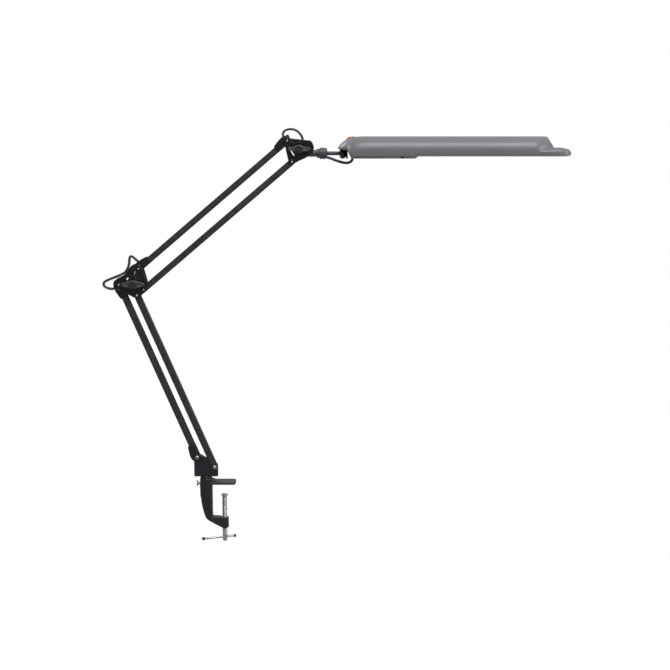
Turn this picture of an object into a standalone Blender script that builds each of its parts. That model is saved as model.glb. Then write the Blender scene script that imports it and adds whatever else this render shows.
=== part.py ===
"""Architect desk lamp: a clamp, two parallelogram arms and a long fluorescent head.

Frame: metres, +Z up, +X along the reach of the arms, +Y to the rear.
Origin: on the underside of the clamp's upper jaw, over the axis of the clamp spindle.
Lengths in the tables below are millimetres and are scaled once, by MM.
"""
import math

import bmesh
import bpy
from mathutils import Matrix, Vector

MM = 0.001
GAP = 0.3                     # clearance between touching pieces

# ---- clamp ------------------------------------------------------------------
SWIVEL_X = -40.0              # axis of the swivel pin
SOCKET_R, SOCKET_TOP = 14.0, 12.0
JAW_END, JAW_HALF, JAW_T = 25.5, 15.5, 7.2
BOSS_R, BOSS_TOP, BOSS_BOT = 9.0, -77.0, -101.0
SPINDLE_R, SPINDLE_BOT = 5.2, -132.2
DISC_R, DISC_TOP, DISC_BOT = 7.4, -25.0, -29.5
TOMMY_Z, TOMMY_R, TOMMY_TURN = -122.8, 2.3, math.radians(19.0)
PIN_R = 6.0
LOCK_Z = 0.0

# ---- base bracket and arms ----------------------------------------------------
BRACKET_BOT = 16.5
BRACKET_OUT, BRACKET_IN = 5.9, 3.9           # half widths of the folded bracket
BASE_PIVOT = Vector((-59.0, 60.8))           # x, z of the outer bar's lower pivot
BASE_OFFSET = Vector((38.2, -23.3))          # from the outer pivot to the inner one
LOWER_LEN, LOWER_LEAN = 416.0, math.radians(23.0)
UPPER_LEN, UPPER_RISE = 422.5, math.radians(40.4)
BAR_W, BAR_HALF_Y, BAR_WALL = 13.5, 7.5, 1.2
WEB_CUT = 12.0                               # the web stops this far from each pivot
SLEEVE_Y = 9.0
PLATE_IN, PLATE_OUT = 9.4, 12.4              # elbow and head bracket plates
HOLE_R, SHANK_R = 2.8, 2.5

# ---- elbow, head bracket -------------------------------------------------------
ELBOW_RISE = Vector((43.2, 34.6))            # lower outer pivot to upper outer pivot
UPPER_OFFSET = Vector((9.85, -44.8))
ELBOW_KNOB = Vector((31.5, 1.7))             # from the lower outer pivot
TILT_FROM_TOP = Vector((25.35, -17.1))       # from the upper bar's top pivot

# ---- knuckle, rod and head -----------------------------------------------------
ROD_Z = 725.5
KNUCKLE_R, ROD_R = 7.2, 4.2
COLLAR_X0, COLLAR_X1 = 205.8, 228.6
PAN_X = 261.7
SHADE_X0, SHADE_X1 = 251.6, 742.0
SHADE_HALF, SHADE_BOT, SHADE_TOP, SHADE_T = 55.0, 720.8, 761.2, 2.5
GRIP_X0, GRIP_TOP = 712.5, 737.0
COVER_X0, COVER_X1, COVER_HALF, COVER_BOT = 278.5, 420.0, 50.0, 716.0
CABLE_R = 2.8

LOWER_DIR = Vector((-math.sin(LOWER_LEAN), math.cos(LOWER_LEAN)))
UPPER_DIR = Vector((math.cos(UPPER_RISE), math.sin(UPPER_RISE)))
B1 = BASE_PIVOT
B2 = B1 + BASE_OFFSET
E1 = B1 + LOWER_LEN * LOWER_DIR
E2 = E1 + BASE_OFFSET
E3 = E1 + ELBOW_RISE
E4 = E3 + UPPER_OFFSET
H3 = E3 + UPPER_LEN * UPPER_DIR
H4 = H3 + UPPER_OFFSET
K1 = E1 + ELBOW_KNOB
K2 = H3 + TILT_FROM_TOP

for old in list(bpy.data.objects):
    bpy.data.objects.remove(old, do_unlink=True)
scene = bpy.context.scene


# ---- materials -------------------------------------------------------------------
def material(name, rgb, rough, metal=0.0):
    m = bpy.data.materials.new(name)
    m.use_nodes = True
    p = m.node_tree.nodes["Principled BSDF"]
    p.inputs["Base Color"].default_value = (*rgb, 1.0)
    p.inputs["Roughness"].default_value = rough
    p.inputs["Metallic"].default_value = metal
    m.diffuse_color = (*rgb, 1.0)
    return m


CAST = material("black_casting", (0.012, 0.012, 0.014), 0.35)
POWDER = material("black_powder_coat", (0.03, 0.03, 0.032), 0.5)
PLASTIC = material("black_plastic", (0.02, 0.02, 0.023), 0.35)
KNOB = material("knob_plastic", (0.07, 0.065, 0.062), 0.45)
SLATE = material("slate_plastic", (0.06, 0.075, 0.09), 0.45)
ZINC = material("zinc_steel", (0.55, 0.56, 0.58), 0.3, 1.0)
GRAPHITE = material("graphite_paint", (0.14, 0.15, 0.16), 0.35)
WARM = material("warm_grey_plastic", (0.22, 0.2, 0.2), 0.5)
ORANGE = material("orange_plastic", (0.75, 0.16, 0.05), 0.4)
CABLE = material("cable_sheath", (0.06, 0.06, 0.065), 0.5)
WHITE = material("white_plastic", (0.75, 0.75, 0.73), 0.45)
GLASS = material("tube_glass", (0.85, 0.87, 0.88), 0.25)
BRIGHT = material("reflector_aluminium", (0.85, 0.86, 0.87), 0.2, 1.0)


# ---- bodies: one empty on each joint axis ------------------------------------------
BODIES = {}


def body(name, x, z, parent=None, y=0.0):
    e = bpy.data.objects.new("axis_" + name, None)
    e.empty_display_size = 0.02
    scene.collection.objects.link(e)
    here = Vector((x, y, z)) * MM
    if parent:
        up = BODIES[parent]
        e.parent = up[0]
        e.location = here - up[1]
    else:
        e.location = here
    BODIES[name] = (e, here)


body("clamp", 0, 0)
body("swivel", SWIVEL_X, BRACKET_BOT, "clamp")
body("lock", SWIVEL_X - 20, LOCK_Z, "clamp")
body("disc", 0, DISC_TOP, "clamp")
body("spindle", 0, DISC_BOT, "disc")
body("tommy", 0, TOMMY_Z, "spindle")
body("lower_outer", B1.x, B1.y, "swivel")
body("lower_inner", B2.x, B2.y, "swivel")
body("elbow", E1.x, E1.y, "lower_outer")
body("elbow_knob", K1.x, K1.y, "elbow")
body("upper_outer", E3.x, E3.y, "elbow")
body("upper_inner", E4.x, E4.y, "elbow")
body("head_bracket", H3.x, H3.y, "upper_outer")
body("head_knob", K2.x, K2.y, "head_bracket")
body("knuckle", K2.x, K2.y, "head_bracket")
body("rod", COLLAR_X0, ROD_Z, "knuckle")
body("head", PAN_X, ROD_Z, "rod")
body("rocker", 279.1, 754.2, "head")


# ---- mesh helpers: geometry is written in world millimetres ---------------------------
def finish(name, bm, mat, where, smooth=False, cutter=False):
    bmesh.ops.remove_doubles(bm, verts=bm.verts, dist=1e-5)
    bmesh.ops.recalc_face_normals(bm, faces=bm.faces)
    empty, pivot = BODIES[where]
    bm.transform(Matrix.Translation(-pivot) @ Matrix.Scale(MM, 4))
    mesh = bpy.data.meshes.new(name)
    bm.to_mesh(mesh)
    bm.free()
    if mat:
        mesh.materials.append(mat)
    o = bpy.data.objects.new(name, mesh)
    scene.collection.objects.link(o)
    o.parent = empty
    if smooth:
        mesh.shade_smooth()
        mesh.set_sharp_from_angle(angle=math.radians(35))
    if cutter:
        o.hide_render = True
        o.display_type = "WIRE"
    return o


def cut(target, tool, op="DIFFERENCE", solver="EXACT"):
    m = target.modifiers.new(op.lower(), "BOOLEAN")
    m.operation = op
    m.object = tool
    m.solver = solver


def place_xz(origin, direction):
    """Local X along the bar, local Z out of its outer side, local Y to the rear."""
    s = Vector((direction.x, 0, direction.y))
    n = Vector((-direction.y, 0, direction.x))
    m = Matrix(((s.x, 0, n.x, origin.x), (0, 1, 0, 0), (s.z, 0, n.z, origin.y), (0, 0, 0, 1)))
    return m


def prism_bm(outline, y0, y1, m=None):
    bm = bmesh.new()
    a = [bm.verts.new((x, y0, z)) for x, z in outline]
    b = [bm.verts.new((x, y1, z)) for x, z in outline]
    bm.faces.new(a)
    bm.faces.new(b[::-1])
    n = len(outline)
    for i in range(n):
        j = (i + 1) % n
        bm.faces.new((a[j], a[i], b[i], b[j]))
    if m:
        bm.transform(m)
    return bm


def prism(name, outline, y0, y1, mat, where, m=None, smooth=False, cutter=False):
    return finish(name, prism_bm(outline, y0, y1, m), mat, where, smooth, cutter)


def box(name, lo, hi, mat, where, m=None, cutter=False):
    bm = prism_bm([(lo[0], lo[2]), (hi[0], lo[2]), (hi[0], hi[2]), (lo[0], hi[2])], lo[1], hi[1], m)
    return finish(name, bm, mat, where, False, cutter)


AXES = {
    "X": Matrix(((0, 0, 1, 0), (1, 0, 0, 0), (0, 1, 0, 0), (0, 0, 0, 1))),
    "Y": Matrix(((1, 0, 0, 0), (0, 0, 1, 0), (0, 1, 0, 0), (0, 0, 0, 1))),
    "Z": Matrix.Identity(4),
}


def turned_bm(profile, centre, axis="Z", seg=20):
    """Revolve (radius, height) pairs about an axis through centre; radius 0 closes a pole."""
    bm = bmesh.new()
    rings = []
    for r, h in profile:
        if r < 1e-6:
            rings.append([bm.verts.new((0, 0, h))])
        else:
            rings.append([
                bm.verts.new((r * math.cos(2 * math.pi * k / seg), r * math.sin(2 * math.pi * k / seg), h))
                for k in range(seg)
            ])
    loop = len(rings[0]) > 1 and len(rings[-1]) > 1
    pairs = list(zip(rings, rings[1:])) + ([(rings[-1], rings[0])] if loop else [])
    for a, b in pairs:
        for k in range(seg):
            j = (k + 1) % seg
            if len(a) == 1 and len(b) == 1:
                continue
            if len(a) == 1:
                bm.faces.new((a[0], b[k], b[j]))
            elif len(b) == 1:
                bm.faces.new((a[k], a[j], b[0]))
            else:
                bm.faces.new((a[k], a[j], b[j], b[k]))
    bm.transform(Matrix.Translation(Vector(centre)) @ AXES[axis])
    return bm


def turned(name, profile, centre, axis, mat, where, seg=20, cutter=False, m=None):
    bm = turned_bm(profile, centre, axis, seg)
    if m:
        bm.transform(m)
    return finish(name, bm, mat, where, True, cutter)


def rod_profile(r, h0, h1):
    return [(0, h0), (r, h0), (r, h1), (0, h1)]


def drill(target, r, centre, axis, h0, h1, where, seg=14, m=None):
    c = turned(target.name + "_drill%d" % len(target.modifiers), rod_profile(r, h0, h1), centre, axis,
               None, where, seg, cutter=True, m=m)
    cut(target, c)


def arc(cx, cz, r, a0, a1, n):
    return [(cx + r * math.cos(math.radians(a0 + (a1 - a0) * i / n)),
             cz + r * math.sin(math.radians(a0 + (a1 - a0) * i / n))) for i in range(n + 1)]


def capsule(p, q, r, n=5):
    """Outline of a slot from p to q."""
    a = math.degrees(math.atan2(q[1] - p[1], q[0] - p[0]))
    return arc(q[0], q[1], r, a - 90, a + 90, n) + arc(p[0], p[1], r, a + 90, a + 270, n)


def spline(points, step):
    """Points on a Catmull-Rom curve through the route, evenly spaced."""
    p = [Vector(q) for q in points]
    p = [2 * p[0] - p[1]] + p + [2 * p[-1] - p[-2]]
    fine = []
    for i in range(1, len(p) - 2):
        for k in range(24):
            t = k / 24
            fine.append(0.5 * ((2 * p[i]) + (p[i + 1] - p[i - 1]) * t
                               + (2 * p[i - 1] - 5 * p[i] + 4 * p[i + 1] - p[i + 2]) * t * t
                               + (3 * p[i] - 3 * p[i + 1] + p[i + 2] - p[i - 1]) * t ** 3))
    fine.append(p[-2])
    length = sum((b - a).length for a, b in zip(fine, fine[1:]))
    count = max(4, round(length / step))
    out, walked, k = [fine[0]], 0.0, 0
    for i in range(1, count):
        want = length * i / count
        while walked + (fine[k + 1] - fine[k]).length < want:
            walked += (fine[k + 1] - fine[k]).length
            k += 1
        f = (want - walked) / (fine[k + 1] - fine[k]).length
        out.append(fine[k].lerp(fine[k + 1], f))
    return out + [fine[-1]]


def cable(name, route, where):
    pts = spline(route, 4.4)
    empty, pivot = BODIES[where]
    c = bpy.data.curves.new(name, "CURVE")
    c.dimensions = "3D"
    c.bevel_depth = CABLE_R * MM
    c.bevel_resolution = 2
    c.use_fill_caps = True
    c.resolution_u = 1
    c.render_resolution_u = 0
    s = c.splines.new("POLY")
    s.points.add(len(pts) - 1)
    for q, v in zip(s.points, pts):
        w = v * MM - pivot
        q.co = (w.x, w.y, w.z, 1)
    c.materials.append(CABLE)
    o = bpy.data.objects.new(name, c)
    scene.collection.objects.link(o)
    o.parent = empty
    return o


# ---- clamp -------------------------------------------------------------------------
spine = [(-53.7, 3), (-26.8, 3), (-26.8, -87.6), (-37.6, -81.3), (-42, -75.5), (-46.8, -60), (-50.5, -42), (-53, -15)]
frame = prism("clamp_frame", spine, -13, 13, CAST, "clamp")
socket = turned("clamp_socket", [(0, -34), (12.5, -34), (SOCKET_R, -28), (SOCKET_R, SOCKET_TOP - 1),
                                 (SOCKET_R - 1, SOCKET_TOP), (0, SOCKET_TOP)],
                (SWIVEL_X, 0, 0), "Z", None, "clamp", 20, cutter=True)
arm = bmesh.new()
vs = []
for x, zb, zt, h in ((-30, -85.7, -67.3, 12.6), (-6, -100.4, -77.6, 8.1)):
    vs.append([arm.verts.new((x, y, z)) for y, z in ((-h, zb), (h, zb), (h, zt), (-h, zt))])
arm.faces.new(vs[0])
arm.faces.new(vs[1])
for i in range(4):
    arm.faces.new((vs[0][i], vs[0][(i + 1) % 4], vs[1][(i + 1) % 4], vs[1][i]))
arm = finish("clamp_arm", arm, None, "clamp", cutter=True)
boss = turned("clamp_boss", [(0, BOSS_BOT), (BOSS_R - 1, BOSS_BOT), (BOSS_R, BOSS_BOT + 1), (BOSS_R, BOSS_TOP - 0.8),
                             (BOSS_R - 0.8, BOSS_TOP), (0, BOSS_TOP)], (0, 0, 0), "Z", None, "clamp", 16, cutter=True)
# jaw: a plate with rounded front corners, drawn in plan and raised
jaw = bmesh.new()
plan = [(-36, -7), (-29, -JAW_HALF)]
plan += [(JAW_END - 6 + 6 * math.sin(math.radians(a)), -JAW_HALF + 6 - 6 * math.cos(math.radians(a))) for a in range(0, 91, 18)]
plan += [(x, -y) for x, y in reversed(plan)]
low = [jaw.verts.new((x, y, 0)) for x, y in plan]
mid = [jaw.verts.new((x, y, JAW_T - 1.6)) for x, y in plan]
top = [jaw.verts.new((x - (1.2 if x > 0 else 0), y * 0.9, JAW_T)) for x, y in plan]
jaw.faces.new(low)
jaw.faces.new(top[::-1])
for a, b in ((low, mid), (mid, top)):
    for i in range(len(plan)):
        j = (i + 1) % len(plan)
        jaw.faces.new((a[i], a[j], b[j], b[i]))
jaw = finish("clamp_jaw", jaw, None, "clamp", cutter=True)
gusset = prism("clamp_gusset", [(-34, 11.2), (-25.5, 10.6), (-20, 8.2), (-15, 6.4), (-15, 2), (-34, 2)], -10.5, 10.5,
               None, "clamp", cutter=True)
for tool in (socket, arm, boss, jaw, gusset):
    cut(frame, tool, "UNION")
drill(frame, 8.3, (SWIVEL_X, 0, 0), "Z", -25, 20, "clamp", 16)
drill(frame, SPINDLE_R + GAP, (0, 0, 0), "Z", -110, -60, "clamp", 16)
drill(frame, HOLE_R, (SWIVEL_X, 0, LOCK_Z), "X", -20, -7, "clamp", 14)

bush = turned("swivel_bush", [(6.3, -24.6), (8.0, -24.6), (8.0, SOCKET_TOP + GAP), (12.6, SOCKET_TOP + GAP),
                              (13.0, SOCKET_TOP + 1), (13.0, 15.4), (12.4, 16.1), (6.3, 16.1)],
              (SWIVEL_X, 0, 0), "Z", PLASTIC, "clamp", 16)
drill(bush, HOLE_R, (SWIVEL_X, 0, LOCK_Z), "X", -12, -4, "clamp", 14)

lock = turned("pin_lock_screw", [(0, -21.0), (2.6, -21.0), (3.2, -20.2), (3.2, -15.6), (SHANK_R, -15.2), (SHANK_R, -6.4), (0, -6.4)],
              (SWIVEL_X, 0, LOCK_Z), "X", ZINC, "lock", 14)
wing = prism("lock_wing", [(-61.6, -3.2), (-61.2, -6), (-59, -6.2), (-56.6, -1.6), (-56.6, 1.6), (-59, 6.2), (-61.2, 6), (-61.6, 3.2), (-60.4, 0)],
             -1.1, 1.1, None, "lock", cutter=True)
cut(lock, wing, "UNION")

disc = turned("pressure_disc", [(0, DISC_TOP), (DISC_R - 0.3, DISC_TOP), (DISC_R, DISC_TOP - 0.3), (DISC_R, DISC_TOP - 1.4),
                                (5.9, DISC_BOT + 0.6), (5.6, DISC_BOT), (3.3, DISC_BOT), (3.3, DISC_BOT + 2.4), (0, DISC_BOT + 2.4)],
              (0, 0, 0), "Z", ZINC, "disc", 16)
spindle = turned("clamp_spindle", [(0, DISC_BOT + 2.0), (3.0, DISC_BOT + 2.0), (3.0, DISC_BOT - GAP), (SPINDLE_R - 0.5, DISC_BOT - GAP),
                                   (SPINDLE_R, DISC_BOT - 1), (SPINDLE_R, -117.5), (4.9, -118.3), (4.9, -129.5), (3.6, SPINDLE_BOT + 0.4),
                                   (2.4, SPINDLE_BOT), (0, SPINDLE_BOT)], (0, 0, 0), "Z", ZINC, "spindle", 16)
TURN = Matrix.Translation((0, 0, TOMMY_Z)) @ Matrix.Rotation(TOMMY_TURN, 4, "Z")
drill(spindle, TOMMY_R + GAP, (0, 0, 0), "X", -8, 8, "spindle", 14, m=TURN)
turned("tommy_bar", rod_profile(TOMMY_R, -48.5, 21.5), (0, 0, 0), "X", ZINC, "tommy", 14, m=TURN)
turned("tommy_cap_left", [(0, -52.2), (2.9, -52.2), (3.3, -51.8), (3.3, -46.8), (3.0, -46.5), (2.6, -46.5), (2.6, -49), (0, -49)],
       (0, 0, 0), "X", PLASTIC, "tommy", 14, m=TURN)
turned("tommy_cap_right", [(0, 24.5), (3.4, 24.5), (3.7, 24.2), (3.7, 23.1), (3.0, 22.8), (3.0, 19.5), (2.6, 19.5), (2.6, 22), (0, 22)],
       (0, 0, 0), "X", PLASTIC, "tommy", 14, m=TURN)

# ---- base bracket on its swivel pin ---------------------------------------------------
turned("swivel_pin", [(0, -24.0), (PIN_R - 0.6, -24.0), (PIN_R, -23.4), (PIN_R, BRACKET_BOT - GAP), (3.2, BRACKET_BOT - GAP), (3.2, 23.0), (0, 23.0)],
       (SWIVEL_X, 0, 0), "Z", ZINC, "swivel", 20)
outline = [(-66, BRACKET_BOT), (-13.6, BRACKET_BOT), (-13.6, 40), (-15.5, 45.2), (-54, 66.2), (-60, 68.6), (-64, 67), (-66, 62)]
bracket = prism("base_bracket", outline, -BRACKET_OUT, BRACKET_OUT, CAST, "swivel")
inner = box("bracket_channel", (-80, -BRACKET_IN, BRACKET_BOT + 3.5), (0, BRACKET_IN, 90), None, "swivel", cutter=True)
cut(bracket, inner)
drill(bracket, 3.5, (SWIVEL_X, 0, 0), "Z", 10, 24, "swivel", 16)
for p in (B1, B2):
    drill(bracket, HOLE_R, (p.x, 0, p.y), "Y", -12, 12, "swivel", 14)


def base_screw(name, p, face):
    turned(name, [(0, -face - 3.0), (2.4, -face - 2.7), (4.0, -face - 1.8), (4.6, -face - 0.8), (4.6, -face - GAP),
                  (SHANK_R, -face - GAP), (SHANK_R, face + 4.4), (0, face + 4.4)], (p.x, 0, p.y), "Y", ZINC, "swivel", 18)
    n = turned(name.replace("screw", "nut"), [(3.2, face + GAP), (4.7, face + GAP), (4.7, face + 3.6), (3.2, face + 3.6)],
               (p.x, 0, p.y), "Y", ZINC, "swivel", 6)
    return n


base_screw("base_screw_outer", B1, SLEEVE_Y)
base_screw("base_screw_inner", B2, BAR_HALF_Y)


# ---- arms ---------------------------------------------------------------------------------
def bar(name, origin, direction, length, outer, where):
    """A folded channel with round fork ends; an outer bar opens inwards and an inner bar outwards."""
    m = place_xz(origin, direction)
    r = BAR_W / 2
    out = arc(length, 0, r, -90, 90, 8) + arc(0, 0, r, 90, 270, 8)
    o = prism(name, out, -BAR_HALF_Y, BAR_HALF_Y, POWDER, where, m)
    side = 1 if outer else -1
    iy = BAR_HALF_Y - BAR_WALL
    n0, n1 = sorted((-side * 20, side * (r - BAR_WALL)))
    cut(o, box(name + "_channel", (-20, -iy, n0), (length + 20, iy, n1), None, where, m, True))
    for k, (s0, s1) in enumerate(((-20, WEB_CUT), (length - WEB_CUT, length + 20))):
        c = box(name + "_fork%d" % k, (s0, -iy + 0.01, -19), (s1, iy - 0.01, 19), None, where, m, True)
        cut(o, c)
    drill(o, HOLE_R, (0, 0, 0), "Y", -12, 12, where, 12, m)
    drill(o, HOLE_R, (length, 0, 0), "Y", -12, 12, where, 12, m)
    return o


SLEEVE = [(-8.2, -3.5), (-8.8, 1.5), (-7.6, 7.0), (-3.5, 11.4), (3.0, 13.3), (11, 13.1), (21, 11.2), (27, 9.9), (30.5, 7.9), (30.5, -6.9), (-4.5, -6.9)]


def sleeve(name, origin, direction, s0, sign, where, fork=False):
    m = place_xz(origin, direction)
    pts = [(s0 + sign * s, n) for s, n in SLEEVE]
    if sign < 0:
        pts.reverse()
    o = prism(name, pts, -SLEEVE_Y, SLEEVE_Y, PLASTIC, where, m)
    lo, hi = sorted((s0 - sign * 30, s0 + sign * 60))
    cut(o, box(name + "_bar", (lo, -BAR_HALF_Y - GAP, -30), (hi, BAR_HALF_Y + GAP, BAR_W / 2 + GAP), None, where, m, True))
    if fork:
        cut(o, box(name + "_fork", (s0 - 20, -BRACKET_OUT - 0.5, -30), (s0 + 14, BRACKET_OUT + 0.5, 30), None, where, m, True))
    drill(o, HOLE_R, (s0, 0, 0), "Y", -14, 14, where, 14, m)
    return o


def spring(name, origin, direction, s0, s1, where):
    m = place_xz(origin, direction)
    turned(name, rod_profile(4.2, s0, s1), (0, 0, 0), "X", ZINC, where, 12, m=m)


bar("lower_outer_bar", B1, LOWER_DIR, LOWER_LEN, True, "lower_outer")
sleeve("lower_sleeve_bottom", B1, LOWER_DIR, 0, 1, "lower_outer", fork=True)
sleeve("lower_sleeve_top", B1, LOWER_DIR, LOWER_LEN, -1, "lower_outer")
bar("lower_inner_bar", B2, LOWER_DIR, LOWER_LEN, False, "lower_inner")
spring("lower_spring", B2, LOWER_DIR, 60, 270, "lower_inner")
bar("upper_outer_bar", E3, UPPER_DIR, UPPER_LEN, True, "upper_outer")
sleeve("upper_sleeve_bottom", E3, UPPER_DIR, 0, 1, "upper_outer")
sleeve("upper_sleeve_top", E3, UPPER_DIR, UPPER_LEN, -1, "upper_outer")
bar("upper_inner_bar", E4, UPPER_DIR, UPPER_LEN, False, "upper_inner")
spring("upper_spring", E4, UPPER_DIR, 60, 270, "upper_inner")


# ---- elbow ----------------------------------------------------------------------------------
def around(c, pts):
    return [(c.x + x, c.y + z) for x, z in pts]


ELBOW_PLATE = around(K1, [(11.5, 42.3), (18.2, 39.0), (21.3, 32.0), (28.8, 4.5), (29.6, -8.5), (27.5, -16), (22, -19.8),
                          (12.5, -28.5), (6.0, -31.2), (-0.5, -28.4), (-18.4, -19.0), (-36.5, -12.2), (-42.6, -7.2), (-44.2, 0.5),
                          (-40.8, 8.0), (-35.0, 12.2), (-25.5, 16.6), (-16.0, 22.6), (-9.4, 32.6), (-4.5, 40.0), (2.6, 42.6)])
ELBOW_SLOTS = [((3.6, 28.0), (0.6, 18.2)), ((-11.6, 13.4), (-16.2, 8.0))]


def plate(name, outline, side, holes, big, slots, mat, where):
    y0, y1 = (-PLATE_OUT, -PLATE_IN) if side < 0 else (PLATE_IN, PLATE_OUT)
    o = prism(name, outline, y0, y1, mat, where)
    for p in holes:
        drill(o, HOLE_R, (p.x, 0, p.y), "Y", -16, 16, where, 12)
    drill(o, 3.3, (big.x, 0, big.y), "Y", -16, 16, where, 12)
    for k, (a, b) in enumerate(slots):
        a, b = (big.x + a[0], big.y + a[1]), (big.x + b[0], big.y + b[1])
        cut(o, prism(name + "_slot%d" % k, capsule(a, b, 1.5), -16, 16, None, where, cutter=True))
    return o


for side, tag in ((-1, "front"), (1, "rear")):
    plate("elbow_%s_plate" % tag, ELBOW_PLATE, side, (E1, E2, E3, E4), K1, ELBOW_SLOTS, PLASTIC, "elbow")


def pin(name, p, where):
    e, r = PLATE_OUT + GAP, SHANK_R
    turned(name, [(0, -e - 1.4), (2.6, -e - 1.3), (3.8, -e - 0.5), (3.8, -e), (r, -e), (r, e), (3.8, e), (3.8, e + 0.5), (2.6, e + 1.3), (0, e + 1.4)],
           (p.x, 0, p.y), "Y", ZINC, where, 10)


for k, p in enumerate((E1, E2, E3, E4)):
    pin(("elbow_pin_lower_outer", "elbow_pin_lower_inner", "elbow_pin_upper_outer", "elbow_pin_upper_inner")[k], p, "elbow")
turned("elbow_spacer", [(3.3, -PLATE_IN + GAP), (7.0, -PLATE_IN + GAP), (7.0, PLATE_IN - GAP), (3.3, PLATE_IN - GAP)],
       (K1.x, 0, K1.y), "Y", PLASTIC, "elbow", 16)


def bolt(name, p, where):
    turned(name, [(0, -20.0), (3.0, -20.0), (3.0, PLATE_OUT + GAP), (6.0, PLATE_OUT + GAP), (6.0, PLATE_OUT + 3.6), (4.6, PLATE_OUT + 4.6), (0, PLATE_OUT + 4.6)],
           (p.x, 0, p.y), "Y", ZINC, where, 14)


def knob(name, p, half, height, where):
    """A wing knob: a lens-shaped grip with a round hub, screwed on the bolt."""
    n = 9
    up = []
    for i in range(n):
        t = -1 + 2 * i / (n - 1)
        up.append((p.x - half * t, p.y + height * (0.26 + 0.74 * (1 - abs(t) ** 1.35))))
    out = up + [(x, 2 * p.y - z) for x, z in reversed(up)]
    o = prism(name, out, -22.5, -14.2, KNOB, where)
    hub = turned(name + "_hub", [(0, -PLATE_OUT - GAP), (8.0, -PLATE_OUT - GAP), (8.0, -23.2), (6.8, -24.2), (0, -24.2)], (p.x, 0, p.y), "Y", None, where, 18, True)
    cut(o, hub, "UNION")
    drill(o, 3.3, (p.x, 0, p.y), "Y", -20.6, -8, where, 12)


bolt("elbow_bolt", K1, "elbow")
knob("elbow_knob", K1, 25.0, 9.3, "elbow_knob")

# ---- head bracket ------------------------------------------------------------------------------
HEAD_PLATE = around(K2, [(-30.7, 21.6), (-19.0, 22.2), (11.5, 18.6), (23.5, 17.8), (28.0, 12.5), (32.2, 3.4), (30.0, -5.0), (17.4, -17.6),
                         (-0.6, -25.4), (-12.6, -32.4), (-18.0, -32.0), (-22.3, -27.6), (-26.8, -8.0), (-30.8, 11.4)])
HEAD_SLOTS = [((-17.0, -4.8), (-11.4, -13.4)), ((13.4, -11.4), (17.2, -7.4))]
for side, tag in ((-1, "front"), (1, "rear")):
    plate("head_%s_plate" % tag, HEAD_PLATE, side, (H3, H4), K2, HEAD_SLOTS, PLASTIC, "head_bracket")
pin("head_pin_outer", H3, "head_bracket")
pin("head_pin_inner", H4, "head_bracket")
bolt("head_bolt", K2, "head_bracket")
knob("head_knob", K2, 24.2, 9.0, "head_knob")
prism("cable_gland_block", around(K2, [(1.8, 14.2), (7.6, 11.6), (12.8, 6.4), (26.6, 5.2), (30.6, 4.4), (29.4, 11), (25.5, 16.6), (21.5, 17.6), (12, 17.8), (1.8, 17.6)]),
      -PLATE_IN + GAP, PLATE_IN - GAP, PLASTIC, "head_bracket")

# ---- tilt knuckle, collar, rod -------------------------------------------------------------------
knuckle = turned("tilt_knuckle", [(0, -PLATE_IN + GAP), (11.4, -PLATE_IN + GAP), (12.0, -PLATE_IN + 0.9), (12.0, PLATE_IN - 0.9), (11.4, PLATE_IN - GAP), (0, PLATE_IN - GAP)],
                 (K2.x, 0, K2.y), "Y", SLATE, "knuckle", 20)
neck = prism("knuckle_neck", [(K2.x + 4, ROD_Z - 5.5), (K2.x + 21, ROD_Z - 6.6), (K2.x + 21, ROD_Z + 6.4), (K2.x + 10, ROD_Z + 8.5), (K2.x + 2, ROD_Z + 8.5)], -6.8, 6.8, None, "knuckle", cutter=True)
tube = turned("knuckle_tube", [(0, K2.x + 14), (KNUCKLE_R - 0.8, K2.x + 14), (KNUCKLE_R, K2.x + 16), (KNUCKLE_R, COLLAR_X0 - GAP), (5.0, COLLAR_X0 - GAP), (5.0, 221.0), (0, 221.0)],
              (0, 0, ROD_Z), "X", None, "knuckle", 16, True)
cut(knuckle, neck, "UNION")
cut(knuckle, tube, "UNION")
drill(knuckle, 3.3, (K2.x, 0, K2.y), "Y", -14, 14, "knuckle", 12)
turned("collar", [(5.3, COLLAR_X0), (9.2, COLLAR_X0), (9.6, 207), (9.6, 211.4), (11.6, 212.6), (12.0, 214), (12.0, 222), (11.6, 225), (10.4, 227.4), (8.4, COLLAR_X1),
                  (4.5, COLLAR_X1), (4.5, 221.6), (5.3, 221.6)], (0, 0, ROD_Z), "X", SLATE, "rod", 18)
rod = turned("head_rod", [(0, 222.0), (ROD_R, 222.0), (ROD_R, 254.6), (6.4, 255.0), (6.4, 257.6), (5.6, 258.2), (0, 258.2)], (0, 0, ROD_Z), "X", ZINC, "rod", 14)
eye = turned("rod_eye", rod_profile(6.0, 719.1, 731.9), (PAN_X, 0, 0), "Z", None, "rod", 14, True)
cut(rod, eye, "UNION")
drill(rod, 3.3, (PAN_X, 0, 0), "Z", 700, 750, "rod", 14)

# ---- head: hinge, shade and what it holds -----------------------------------------------------------
turned("pan_pin", [(0, 714.2), (4.0, 714.2), (4.3, 714.6), (4.3, 716.7), (3.0, 716.7), (3.0, 734.3), (5.0, 734.3), (5.0, 736.4), (4.0, 737.2), (0, 737.2)],
       (PAN_X, 0, 0), "Z", ZINC, "head", 12)
hinge = box("hinge_bracket", (254.5, -8.5, 717.0), (271.8, 8.5, 734.0), PLASTIC, "head")
slot = box("hinge_gap", (240, -20, 718.8), (269.0, 20, 732.2), None, "head", cutter=True)
web = box("hinge_web", (269.2, -13, 714.2), (272.4, 13, 740.0), None, "head", cutter=True)
cut(hinge, slot)
cut(hinge, web, "UNION")
drill(hinge, 3.3, (PAN_X, 0, 0), "Z", 700, 750, "head", 14)

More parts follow.
